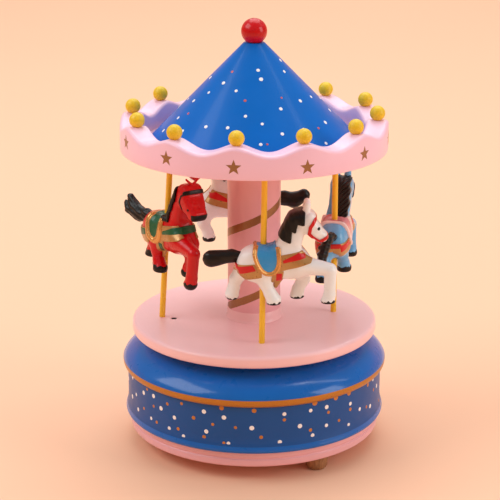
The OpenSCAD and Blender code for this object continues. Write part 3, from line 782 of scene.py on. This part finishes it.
def polygon_2d(p, corners):
    """Signed distance to a polygon in the side view."""
    x, _, z = xyz(p)
    sign = np.ones(x.shape, np.float32)
    for (ax, az), (bx, bz) in zip(corners, corners[1:] + corners[:1]):
        left, right = (bx - ax) * (z - az), (bz - az) * (x - ax)
        up = (az <= z) & (bz > z) & (left < right)
        down = (az > z) & (bz <= z) & (left > right)
        sign = np.where(up | down, -sign, sign)
    return sign * line_2d(x, z, corners + corners[:1])


def slab(p, a, b, ra, rb, wa, wb, power=3.5):
    """A limb with flat sides, as a two-part mould gives: round in the side view, `w` wide to each side."""
    x, y, z = xyz(p)
    ax, az = a
    ex, ez = b[0] - ax, b[1] - az
    wx, wz = x - ax, z - az
    t = np.clip((wx * ex + wz * ez) / (ex * ex + ez * ez), 0, 1)
    off = np.hypot(wx - ex * t, wz - ez * t)
    r = ra + (rb - ra) * t
    w = wa + (wb - wa) * t
    k = ((off / r) ** power + (np.abs(y) / w) ** power + 1e-9) ** (1 / power)
    return (k - 1) * np.minimum(r, w)


def hoofed(p, a, b, ra, rb, foot, flare=2.85):
    """A lower leg that flares into a hoof."""
    return merge(limb(p, a, b, ra, rb), limb(p, b, foot, rb, flare), 0.8)


def neck_and_head(p):
    neck = slab(p, (9.0, 22.0), (13.3, 34.8), 5.3, 3.9, 5.0, 4.5)
    poll = slab(p, (15.8, 36.1), (17.6, 36.5), 3.2, 3.2, 4.4, 4.6)
    head = slab(p, (17.3, 35.0), (22.9, 29.4), 3.1, 2.2, 4.7, 3.7)
    cheek = slab(p, (18.7, 32.8), (19.7, 31.8), 3.3, 3.1, 4.8, 4.6)
    muzzle = slab(p, (22.4, 29.3), (23.7, 28.8), 2.1, 1.85, 3.6, 3.3)
    return merge(neck, merge(merge(merge(head, cheek, 1.0), muzzle, 0.8), poll, 1.0), 1.6)


def torso(p):
    rump = slab(p, (-3.2, 17.1), (0, 16.9), 7.5, 6.5, 5.9, 5.5, 2.8)
    barrel = slab(p, (0, 17.0), (12.6, 17.6), 6.1, 6.4, 5.4, 5.6, 2.8)
    return merge(merge(rump, barrel, 3), neck_and_head(p), 2.6)


def legs(p, stride):
    """Distances of the four legs; the near fore is raised, and stride moves the other fore hoof forward."""
    knee, hoof_x = (16.4 + stride, 3.3, 9.8), 14.0 + stride
    raised = limb(p, (14.6, -2.4, 17.4), (26.7, -3.5, 16.0), 4.1, 2.6)
    planted = limb(p, (15.6 + 0.6 * stride, 2.4, 15.2), knee, 4.1, 2.6)
    rear = limb(p, (-6.4, 2.4, 15.4), (-10.8, 3.0, 9.4), 4.4, 2.6)
    near = limb(p, (-0.8, -2.4, 15.0), (1.0, -3.3, 9.6), 4.2, 2.55)
    raised_foot = hoofed(p, (26.9, -3.7, 15.2), (26.8, -3.9, 5.4), 2.5, 2.35, (26.3, -3.9, 3.1))
    planted_foot = hoofed(p, knee, (hoof_x + 0.4, 3.5, 5.2), 2.55, 2.4, (hoof_x, 3.5, 3.0))
    rear_foot = hoofed(p, (-10.8, 3.0, 9.4), (-11.8, 3.4, 5.2), 2.5, 2.45, (-12.3, 3.4, 2.9))
    near_foot = hoofed(p, (1.0, -3.3, 9.6), (3.0, -3.7, 5.6), 2.5, 2.45, (4.4, -3.8, 3.0), 3.1)
    return (merge(raised, raised_foot, 0.9), merge(planted, planted_foot, 1.2),
            merge(rear, rear_foot, 1.2), merge(near, near_foot, 1.0))


def floor_of(p, tilt):
    """Height of the plane on which the hooves end; tilt raises it towards the front."""
    return HOOF_Z + tilt * (p[..., 0] - 7)


def horse_body(p, tilt=0.0, stride=0.0):
    d = torso(p)
    for leg in legs(p, stride):
        d = merge(d, leg, 2.0)
    return overlap(d, floor_of(p, tilt) - p[..., 2], 0.5)


def body_field(tilt, stride):
    return lambda p: horse_body(p, tilt, stride)


def pair(p, base, tip, r_base, r_tip):
    """The left and the right ear; y of base and tip is the left one's."""
    ears = []
    for side in (-1, 1):
        a, b = (base[0], side * base[1], base[2]), (tip[0], side * tip[1], tip[2])
        ears.append(limb(p, a, b, r_base, r_tip))
    return np.minimum(*ears)


def blunt_ears(p):
    return pair(p, (16.5, 2.3, 38.6), (17.1, 2.5, 42.4), 1.75, 1.35)


def thin_ears(p):
    return pair(p, (18.4, 0.1, 39.2), (18.2, 3.0, 41.8), 0.62, 0.42)


def leaning(field):
    """The same part on a horse whose neck leans 0.9 mm to its right."""
    def leant(p):
        q = p.copy()
        q[..., 1] = p[..., 1] + 0.9 * np.clip((p[..., 2] - 24) / 5, 0, 1)
        return field(q)
    return leant


def slim_crest(field):
    """The same part on a horse whose neck is thinner towards a straight crest."""
    def slimmer(p):
        x, y, z = xyz(p)
        line = 0.91 * (x - 7.2 - 0.47 * (z - 25.5))
        above = z - 24.4
        crest = np.minimum(0.6 - line, above)
        flank = np.minimum(0.8 * (np.abs(y) - 3.4 - 0.7 * line), above)
        return overlap(overlap(field(p), crest, 0.8), flank, 0.8)
    return slimmer


def long_necked(field):
    """The same part on a horse whose neck and head are drawn out upwards by 3 mm."""
    def longer(p):
        q = p.copy()
        z = p[..., 2]
        q[..., 2] = z - 1.9 * np.clip((z - 21) / 9.9, 0, 1) - 1.1 * np.clip((z - 30) / 13, 0, 1)
        return field(q)
    return longer


# ---------------- horses: surfaces of the fields

def surface_net(field, step, corner):
    """Quads on a field's zero surface; the vertices are the middles of the crossings of each cell."""
    shape = np.array(field.shape)
    inside = field < 0
    cell_shape = shape - 1
    total = int(np.prod(cell_shape))
    sums = np.zeros((total, 3))
    counts = np.zeros(total)
    quads = []
    for axis in range(3):
        head = [slice(None)] * 3
        tail = [slice(None)] * 3
        head[axis], tail[axis] = slice(0, -1), slice(1, None)
        a, b = field[tuple(head)], field[tuple(tail)]
        at = np.argwhere(inside[tuple(head)] != inside[tuple(tail)])
        fa, fb = a[tuple(at.T)], b[tuple(at.T)]
        place = at.astype(float)
        place[:, axis] += fa / (fa - fb)
        u, v = (axis + 1) % 3, (axis + 2) % 3
        cells = []
        for du, dv in ((0, 0), (-1, 0), (-1, -1), (0, -1)):
            c = at.copy()
            c[:, u] += du
            c[:, v] += dv
            index = np.ravel_multi_index(tuple(c.T), cell_shape)
            cells.append(index)
            for k in range(3):
                sums[:, k] += np.bincount(index, place[:, k], total)
            counts += np.bincount(index, minlength=total)
        quad = np.stack(cells, 1)
        quad[fa > 0] = quad[fa > 0][:, ::-1]
        quads.append(quad)
    used = np.flatnonzero(counts)
    order = np.full(total, -1)
    order[used] = np.arange(len(used))
    points = sums[used] / counts[used][:, None] * step + corner
    return points, order[np.concatenate(quads)]


def solid(function, box, step, refine=3):
    """Points and quads of the surface where function(p) is zero, within a box (x0, y0, z0, x1, y1, z1)."""
    corner = box[:3]
    axes = [np.arange(a, b + step, step, dtype=np.float32) for a, b in zip(corner, box[3:])]
    field = function(np.stack(np.meshgrid(*axes, indexing="ij"), -1))
    for axis in range(3):
        edge = [slice(None)] * 3
        for end in (0, -1):
            edge[axis] = end
            field[tuple(edge)] = np.maximum(field[tuple(edge)], step)
    points, quads = surface_net(field, step, np.array(corner))
    for _ in range(refine):
        points = points - settle(function, points, step)
    return points, quads


def settle(function, points, step):
    """How far each point has to move along the field's slope to reach the surface."""
    reach = 0.05
    value = function(points.astype(np.float32))
    slope = np.zeros_like(points)
    for axis in range(3):
        shift = np.zeros(3)
        shift[axis] = reach
        above, below = (function((points + s).astype(np.float32)) for s in (shift, -shift))
        slope[:, axis] = (above - below) / (2 * reach)
    size = np.maximum((slope ** 2).sum(1), 0.2)
    move = (value / size)[:, None] * slope
    length = np.linalg.norm(move, axis=1)
    return move * np.minimum(1, 0.4 * step / np.maximum(length, 1e-9))[:, None]


# ---------------- horses: saddle, straps, bridle and eyes

def saddle_2d(p):
    """Side view of the saddle flap: rounded above, with a pointed lower end that leans forward."""
    z = p[..., 2] - 22.3
    x = p[..., 0] - 1.3 + 0.19 * np.minimum(z, 0)
    a = 3.9
    b = np.where(z > 0, 5.6, 6.9)
    k = np.sqrt((x / a) ** 2 + (z / b) ** 2)
    slope = np.sqrt((x / a ** 2) ** 2 + (z / b ** 2) ** 2) + 1e-6
    return k * (k - 1) / slope


def saddle_pad(p):
    flap = overlap(overlap(horse_body(p) - 0.5, saddle_2d(p) - 0.4, 0.3), 13 - p[..., 2], 0.3)
    seat = limb(p, (-1.4, 0, 23.4), (3.6, 0, 23.4), 1.9, 1.9, 2.1)
    return merge(flap, seat, 0.8)


def saddle_rim(inner, outer):
    """The raised edge: a band between two distances from the flap's outline, and a thin inner line."""
    middle, half, height = (inner + outer) / 2, (outer - inner) / 2, 0.72

    def field(p):
        body, flap, z = horse_body(p), saddle_2d(p), p[..., 2]
        out = np.abs(flap - middle) / half
        tube = (np.sqrt(out ** 2 + ((body - 0.3) / height) ** 2) - 1) * min(half, height)
        thin = np.sqrt((flap - inner + 0.25) ** 2 + (body - 0.45) ** 2) - 0.3
        return overlap(overlap(merge(tube, thin, 0.1), 12 - z, 0.3), z - 25.4, 0.6)
    return field


# Outlines in the side view (x, z)
COLLAR = [(5.5, 21.8), (14.4, 23.6), (16.4, 24.2), (19.8, 20.9), (19.0, 19.2), (8.0, 15.7), (5.5, 15.0)]
COLLAR_STRIPE = [(7.6, 20.1), (14.0, 23.3), (16.6, 22.6), (17.0, 21.2), (8.0, 18.9)]
BREECHING = [(-11.2, 17.3), (-10.4, 13.6), (-7.0, 11.2), (-0.5, 13.0), (-0.5, 18.8), (-10.6, 17.5)]
BREECHING_STRIPE = [(-10.8, 16.8), (-9.4, 13.7), (-2.8, 15.9), (-4.2, 18.1), (-9.8, 17.0)]
LONG_STRIPE = [(7.6, 20.2), (14.0, 23.0), (17.6, 23.8), (17.6, 21.6), (8.0, 18.8)]


def front_band(p, z_low, z_high):
    """A band across the flat front of the chest."""
    middle, half = (z_low + z_high) / 2, (z_high - z_low) / 2
    return overlap(np.abs(p[..., 2] - middle) - half, 16.2 - p[..., 0], 0.2)


def collar_band(p):
    side = overlap(polygon_2d(p, COLLAR), 3.4 - np.abs(p[..., 1]), 0.2)
    return np.minimum(side, front_band(p, 23.4, 25.6))


def long_stripe(p):
    """The red horse's stripe: it goes on round the chest."""
    return np.minimum(polygon_2d(p, LONG_STRIPE), front_band(p, 21.5, 23.7))


def short_stripe(p):
    """The other horses' stripe: it ends at the corner of the chest."""
    return polygon_2d(p, COLLAR_STRIPE)


def breeching_band(p):
    x, _, z = xyz(p)
    wrap = overlap(np.abs(z - 15.4 - 0.3 * (x + 10)) - 0.9, x + 10.0, 0.2)
    return np.minimum(polygon_2d(p, BREECHING), wrap)


def breeching_stripe(p):
    wrap = overlap(np.abs(p[..., 2] - 16.6) - 1.0, p[..., 0] + 10.2, 0.2)
    return np.minimum(polygon_2d(p, BREECHING_STRIPE), wrap)


def girth_band(p):
    x, _, z = xyz(p)
    middle = 6.0 - 0.12 * (15 - z)
    return overlap(overlap(np.abs(x - middle) - 2.2, z - 15.5, 0.3), torso(p) - 0.7, 0.3)


def girth_stripe(p):
    return overlap(np.abs(p[..., 0] - 6.4) - 1.2, np.abs(p[..., 2] - 12.8) - 1.9, 0.3)


def straps(p):
    """Collar, breeching and girth, joined, with the girth's loose end below the belly."""
    region = np.minimum(np.minimum(collar_band(p), breeching_band(p)), girth_band(p))
    bands = overlap(overlap(horse_body(p) - 0.38, region, 0.3), 0.6 - saddle_2d(p), 0.2)
    end = limb(p, (6.6, -3.4, 12.2), (5.2, -3.0, 8.4), 1.5, 0.7, 0.5)
    return merge(bands, end, 0.4)


def strap_stripes(collar):
    def field(p):
        region = np.minimum(np.minimum(collar(p), breeching_stripe(p)), girth_stripe(p))
        return overlap(overlap(horse_body(p) - 0.52, region, 0.25), 0.6 - saddle_2d(p), 0.2)
    return field


BRIDLE_LINE = [(20.4, 36.8), (18.4, 33.6), (18.0, 30.8), (20.0, 28.8), (22.2, 27.4), (25.2, 29.2)]
CHEEK_LINE = [(20.4, 36.7), (18.2, 35.6), (17.0, 33.0), (18.4, 30.4)]
BROW_LINE = [(21.6, 37.6), (19.6, 36.8)]


def patch(p, thickness, region, blend):
    """A thin coat on the head inside a region."""
    head = neck_and_head(p)
    return overlap(overlap(head - thickness, region, blend), -(head + 0.4), 0.1)


def head_line(corners, half, thickness):
    """A flat strap on the head along a line in the side view; it wraps round the edges of the head."""
    def field(p):
        head = neck_and_head(p)
        region = line_2d(p[..., 0], p[..., 2], corners) - half
        return overlap(overlap(head - thickness, -(head + 0.4), 0.1), region, 0.15)
    return field


def low_eyes(p):
    spot = np.hypot(p[..., 0] - 22.2, p[..., 2] - 31.0) - 0.45
    return overlap(neck_and_head(p) - 0.1, spot, 0.15)


def eyes(p):
    return patch(p, 0.14, np.hypot(p[..., 0] - 21.8, p[..., 2] - 33.0) - 0.6, 0.15)


def dark_muzzle(p):
    return patch(p, 0.12, overlap(np.abs(p[..., 2] - 28.3) - 1.15, 23.9 - p[..., 0], 0.3), 0.2)


def hoof_bands(height, tilt, stride):
    """The dark lower edge of every hoof, its upper edge uneven as brushed."""
    def field(p):
        x, y, z = xyz(p)
        wave = np.sin(2.3 * x + 1.3 * y) + 0.6 * np.sin(4.1 * x - 2.0 * y)
        above = z - floor_of(p, tilt)
        edge = above - height - 0.28 * wave * min(height, 1)
        return overlap(overlap(horse_body(p, tilt, stride) - 0.1, edge, 0.1), -0.06 - above, 0.05)
    return field


# ---------------- horses: manes and tails

WHITE_MANE = [(15.8, 41.0), (16.3, 39.4), (16.1, 34.6), (15.4, 34.4), (13.4, 34.8), (12.8, 31.4),
              (12.2, 31.2), (11.2, 31.6), (10.9, 27.2), (10.3, 26.9), (7.6, 28.0), (3.0, 31.2),
              (2.0, 36), (8, 44)]
RED_MANE = [(10.6, 42.5), (12.2, 39.0), (14.2, 36.8), (14.4, 34.6), (13.4, 32.2), (12.4, 31.0),
            (11.9, 28.6), (10.8, 27.6), (10.2, 24.0), (5.4, 23.6), (1.0, 27), (2.0, 36),
            (6, 44)]
BLUE_MANE = [(15.8, 42.5), (15.8, 38.4), (14.4, 37.0), (14.9, 35.2), (13.0, 33.6), (13.2, 31.0),
             (11.2, 29.4), (11.0, 27.0), (8.4, 25.6), (4.0, 25.0), (1.0, 28), (2.0, 36),
             (8, 44)]


def hair(outline, groove, spacing, neck=neck_and_head):
    """A mane: a coat on the neck inside an outline, combed into strands that run across the lean."""
    thickness, lean = 0.9, 0.25

    def field(p):
        x, y, z = xyz(p)
        along = x * math.cos(lean) + z * math.sin(lean)
        phase = 2 * math.pi * along / spacing + 0.9 * np.sin(0.35 * z) + 0.5 * np.sin(y)
        comb = groove * (1 - np.abs(np.sin(phase / 2)) * 2)
        return overlap(neck(p) - thickness + comb, polygon_2d(p, outline), 0.5)
    return field


def white_mane():
    return hair(WHITE_MANE, 0.07, 2.6)


def red_mane():
    return hair(RED_MANE, 0.14, 1.7, slim_crest(neck_and_head))


def blue_mane(p):
    """The blue horse's mane: thick strands along the back of the neck that slant down to the right."""
    _, y, z = xyz(p)
    phase = 2 * math.pi * (z + 0.9 * y) / 1.9
    comb = 0.22 * np.sin(phase + 0.8 * np.sin(0.5 * z)) * np.clip(0.6 - 0.5 * y, 0.1, 1)
    sides = np.abs(y + 1.1 + 0.25 * np.sin(1.3 * z)) - 3.3
    return overlap(overlap(neck_and_head(p) - 1.2 + comb, polygon_2d(p, BLUE_MANE), 0.5), sides, 0.6)


def white_tail(p):
    x, y, z = xyz(p)
    knots = [(-8.6, 0, 19.8, 2.0), (-12.6, 0, 20.0, 2.6), (-20.8, 0, 18.6, 3.5)]
    return chain(p, knots, 1.0, 0.8) + 0.05 * np.sin(z * 3.0 + 0.25 * x + y)


def rear_tail(p):
    knots = [(-8.6, 0, 19.4, 2.0), (-16.5, 0, 18.6, 3.1), (-21.0, 0, 17.6, 3.3), (-25.2, 0, 19.6, 2.8)]
    return chain(p, knots, 1.4, 0.85) + 0.05 * np.sin(p[..., 2] * 3.0 + p[..., 1])


def red_tail(p):
    """Dips behind the root and curls up at the end, in two strands."""
    x, y, z = xyz(p)
    knots = [(-8.6, 0, 21.6, 1.6), (-12.5, 0, 20.8, 2.4), (-17.0, 0, 19.6, 3.0), (-22.0, 0, 21.4, 2.7),
             (-25.0, 0, 24.8, 1.8)]
    lower = [(-18.5, -0.6, 19.0, 2.4), (-24.4, -1.2, 20.2, 1.8), (-26.8, -1.2, 22.4, 0.9)]
    comb = np.abs(np.sin(1.3 * (z + 0.28 * x) + 0.4 * y))
    return merge(chain(p, knots, 1.2, 0.85), chain(p, lower, 1.0, 0.9), 0.4) + 0.3 * (0.5 - comb)


def blue_tail(p):
    x, y, z = xyz(p)
    knots = [(-9.2, -1.0, 19.6, 1.5), (-12.5, -0.3, 21.4, 2.0), (-15.4, 0.8, 20.8, 2.3),
             (-18.2, 1.8, 17.8, 2.4), (-20.0, 2.3, 14.8, 2.2), (-21.0, 1.8, 12.2, 1.3)]
    comb = 0.28 * np.sin(1.9 * (z + 0.5 * x)) + 0.12 * np.sin(4.2 * y + z)
    return chain(p, knots, 0.8, 0.9) + comb


# ---------------- horses: the parts, and each horse's own

# Tilt of the plane on which the front and the red horse's hooves end; the rear horse's longer step
WHITE_TILT, RED_TILT = 0.045, -0.045
REAR_STRIDE = 3


def horse_fields():
    """The parts that every horse is put together from: name -> (field, box, grid step)."""
    body, long_body = (-18, -8.5, 0, 32, 8.5, 45), (-18, -8.5, 0, 32, 8.5, 47)
    torso_box, feet = (-13, -8.5, 5, 21, 8.5, 28), (-17, -8, 0, 32, 8, 6.5)
    rim, head = (-6.5, -8.2, 11, 9.5, 8.2, 29), (15, -6, 24, 28, 6, 43)
    bridle, cheek = head_line(BRIDLE_LINE, 0.7, 0.28), head_line(CHEEK_LINE, 0.32, 0.18)
    stripes, long_stripes = strap_stripes(short_stripe), strap_stripes(long_stripe)
    return {
        "body_white": (body_field(WHITE_TILT, 0), body, BODY_STEP),
        "body_red": (long_necked(slim_crest(body_field(RED_TILT, 0))), long_body, BODY_STEP),
        "body_blue": (leaning(body_field(0, 0)), body, BODY_STEP),
        "body_rear": (long_necked(body_field(0, REAR_STRIDE)), long_body, BODY_STEP),
        "blunt_ears": (blunt_ears, (13, -6, 36, 20, 6, 45), FINE),
        "leant_ears": (leaning(blunt_ears), (13, -7, 36, 20, 6, 45), FINE),
        "long_ears": (long_necked(blunt_ears), (13, -6, 36, 20, 6, 48), FINE),
        "thin_ears": (long_necked(thin_ears), (16, -5, 39, 21, 5, 47), 0.12),
        "saddle": (saddle_pad, (-6, -7.8, 12, 8, 7.8, 28), FINE),
        "saddle_rim": (saddle_rim(0.45, 1.85), rim, FINE),
        "wide_saddle_rim": (saddle_rim(-0.4, 1.85), rim, FINE),
        "straps": (straps, torso_box, FINE),
        "long_straps": (long_necked(straps), torso_box, FINE),
        "side_stripes": (stripes, torso_box, FINE),
        "long_side_stripes": (long_necked(stripes), torso_box, FINE),
        "long_stripes": (long_necked(long_stripes), torso_box, FINE),
        "bridle": (bridle, (15, -6, 24, 28, 6, 40), 0.18),
        "long_bridle": (long_necked(bridle), head, 0.18),
        "leant_cheek": (leaning(cheek), (15, -7, 24, 28, 6, 40), 0.18),
        "long_cheek": (long_necked(cheek), head, 0.18),
        "long_brow": (long_necked(head_line(BROW_LINE, 0.8, 0.2)), (16, -6, 33, 25, 6, 44), 0.18),
        "eyes": (eyes, (20.5, -6, 31, 23.5, 6, 35), 0.12),
        "leant_eyes": (leaning(eyes), (20.5, -7, 31, 23.5, 6, 35), 0.12),
        "long_eyes": (long_necked(eyes), (20.5, -6, 31, 23.5, 6, 38), 0.12),
        "low_eyes": (long_necked(low_eyes), (20.5, -6, 29, 24, 6, 36), 0.12),
        "muzzle": (long_necked(dark_muzzle), (22, -5, 25, 28, 5, 35), 0.16),
        "hoof_line": (hoof_bands(0.95, WHITE_TILT, 0), feet, FINE),
        "rear_hoof_line": (hoof_bands(1.9, 0, REAR_STRIDE), feet, FINE),
        "hooves": (hoof_bands(3.0, RED_TILT, 0), feet, FINE),
        "blue_hooves": (hoof_bands(2.6, 0, 0), feet, FINE),
        "white_mane": (white_mane(), (1, -7, 24, 19, 7, 44), FINE),
        "long_mane": (long_necked(white_mane()), (1, -7, 24, 19, 7, 47), FINE),
        "red_mane": (long_necked(red_mane()), (1, -7, 23, 19, 7, 47), FINE),
        "blue_mane": (leaning(blue_mane), (1, -8, 23, 19, 6, 44), FINE),
        "white_tail": (white_tail, (-26, -5, 12, -6, 5, 26), FINE),
        "rear_tail": (rear_tail, (-29.5, -5, 12, -6, 5, 26), FINE),
        "red_tail": (red_tail, (-30, -5, 12, -6, 5, 32), FINE),
        "blue_tail": (blue_tail, (-25, -5, 8, -6, 5, 28), FINE),
    }


# Node, lift, heading round the pole, shift on it, and the parts with their materials: the body is the
# first. The horses are in the order of the poles.
HORSES = [
    ("horse_red", 4.1, -52.5, (-1.0, -0.9), {
        "body_red": "horse_red", "thin_ears": "horse_red", "saddle": "saddle_green",
        "wide_saddle_rim": "rim_gold", "long_straps": "strap_gold", "long_stripes": "strap_green",
        "long_cheek": "black", "long_brow": "black", "muzzle": "black", "low_eyes": "black",
        "hooves": "black", "red_mane": "black", "red_tail": "black"}),
    ("horse_white_front", 0.0, 0, (0, 0), {
        "body_white": "horse_white", "blunt_ears": "horse_white", "saddle": "saddle_blue",
        "saddle_rim": "rim_gold", "straps": "strap_gold", "side_stripes": "strap_red",
        "bridle": "strap_red", "eyes": "black", "white_mane": "black", "hoof_line": "black",
        "white_tail": "dark_brown"}),
    ("horse_blue", -1.2, 80, (0, 0), {
        "body_blue": "horse_blue", "leant_ears": "horse_blue", "saddle": "saddle_pink",
        "saddle_rim": "rim_pink", "straps": "strap_gold", "side_stripes": "strap_red",
        "leant_cheek": "dark_brown", "leant_eyes": "black", "blue_hooves": "black",
        "blue_mane": "dark_brown", "blue_tail": "dark_brown"}),
    ("horse_white_rear", 6.0, 187, (0, 0), {
        "body_rear": "horse_white", "long_ears": "horse_white", "saddle": "saddle_blue",
        "saddle_rim": "rim_gold", "long_straps": "strap_gold", "long_side_stripes": "strap_red",
        "long_bridle": "strap_red", "long_eyes": "black", "long_mane": "black",
        "rear_hoof_line": "black", "rear_tail": "dark_brown"}),
]


def build_horses():
    made = {name: solid(*field) for name, field in horse_fields().items()}
    for pole, (node, lift, heading, shift, parts) in enumerate(HORSES):
        up = HOOVES_HEIGHT + lift - POLE_FEET[pole].z
        place = pole_frame(pole) @ Matrix.Translation((0, 0, up))
        place = place @ Matrix.Rotation(math.radians(heading), 4, "Z")
        place = place @ Matrix.Translation((*shift, 0))
        turn, start = np.array(place.to_3x3()), np.array(place.translation)
        replaced = [node]
        for part, material in parts.items():
            points, quads = made[part]
            mesh = (points @ turn.T + start).tolist(), quads.tolist()
            slot = material if replaced else None
            piece(f"{node}_{part}", mesh, material, "carousel", 180, replaced, slot)
            replaced = ()


# ---------------- movement: the CAD nodes with real finishes

CAD_LOOKS = {
    "brass": ["deck_bush", "hub_flange", "great_wheel", "music_cylinder", "cylinder_pins",
              "cylinder_wheel", "worm_wheel", "air_fan"],
    "steel": ["bottom_plate_screws", "bedplate_screws", "movement_screws", "hub_screws", "comb",
              "winding_arbor", "ratchet_wheel", "cylinder_arbor", "governor_arbor", "worm_shaft",
              "click_pivot", "spring_barrel"],
    "blued_steel": ["mainspring", "click", "arbor_clip"],
    "zinc": ["bedplate", "comb_block", "cylinder_bracket_inner", "cylinder_bracket_outer",
             "governor_bracket"],
    "nylon": ["thrust_washer"],
    "pink": ["canopy_deck"],
}


def finish_cad_nodes():
    for material, nodes in CAD_LOOKS.items():
        for name in nodes:
            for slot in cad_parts[name].material_slots:
                slot.material = MATERIALS[material]


# ---------------- camera, light and floor, in metres where not said otherwise

ELEVATION = math.radians(17.343)
DISTANCE, TARGET_Z = 0.72863, 0.08196
LENS, LENS_SHIFT = 124.7544, -0.00828  # mm on a 36 mm sensor, share of its width
SKY, SKY_STRENGTH = (1.0, 0.99, 0.98, 1), 0.38
# The floor's flat part and the wall that it curves up into, in mm
FLOOR_R, WALL_R, WALL_TOP = 1900, 2400, 850
MIDDLE = (0, 0, 0.09)
# Name, place, target, width and height, power
LIGHTS = [
    ("top", (0.05, 0.45, 1.3), MIDDLE, (1.2, 0.9), 9.0),
    ("key", (-0.95, -0.2, 1.0), MIDDLE, (1.0, 0.7), 7.0),
    ("fill", (1.05, -0.4, 0.5), MIDDLE, (0.5, 0.8), 4.2),
    ("strip", (0.85, 0.15, 1.2), MIDDLE, (0.12, 0.9), 0.9),
    ("back", (0.1, 1.5, 1.2), (0.1, 1.5, 0), (1.2, 0.8), 7.0),
]


def build_camera():
    data = bpy.data.cameras.new("camera")
    data.lens = LENS
    data.shift_x = LENS_SHIFT
    data.clip_end = 20
    camera = linked("camera", data)
    camera.location = (0, -DISTANCE * math.cos(ELEVATION), TARGET_Z + DISTANCE * math.sin(ELEVATION))
    camera.rotation_euler = (math.pi / 2 - ELEVATION, 0, 0)
    bpy.context.scene.camera = camera


def build_lights():
    for name, place, target, size, power in LIGHTS:
        data = bpy.data.lights.new(name, "AREA")
        data.shape = "RECTANGLE"
        data.size, data.size_y = size
        data.energy = power
        light = linked(name, data)
        light.location = place
        light.rotation_euler = (Vector(target) - light.location).to_track_quat("-Z", "Y").to_euler()


def build_stage():
    """A pale floor that curves up into a backdrop all round, so that every view has it."""
    s = Shader("floor")
    s.color(s.mix(s.noise(400, detail=2), srgb(250, 199, 165), srgb(252, 203, 170)))
    s.set(Roughness=0.9)
    bend, steps = WALL_R - FLOOR_R, 12
    profile = [(0, 0)] + [(r, 0) for r in (200, 600, FLOOR_R)]
    for k in range(1, steps + 1):
        a = math.pi / 2 * k / steps
        profile.append((FLOOR_R + bend * math.sin(a), bend * (1 - math.cos(a))))
    profile.append((WALL_R, WALL_TOP))
    data = mesh_data("floor", lathe(profile, 96))
    data.shade_smooth()
    data.materials.append(s.material)
    floor = linked("floor", data)
    world = bpy.data.worlds.new("world")
    world.use_nodes = True
    background = world.node_tree.nodes["Background"]
    background.inputs["Color"].default_value = SKY
    background.inputs["Strength"].default_value = SKY_STRENGTH
    bpy.context.scene.world = world


build_camera()
build_drum()
build_gold_line()
build_plate()
build_feet()
build_dots("base", "base", BASE_DOTS, on_waist, seed=5, spread=0.14)
build_disc()
build_column()
build_poles()
build_crown()
build_beads_and_stars()
build_roof()
build_dots("roof", "carousel", ROOF_DOTS, on_roof, seed=11, spread=0.16)
build_horses()
finish_cad_nodes()
build_stage()
build_lights()

bpy.context.scene.view_settings.view_transform = "Standard"
bpy.context.view_layer.update()
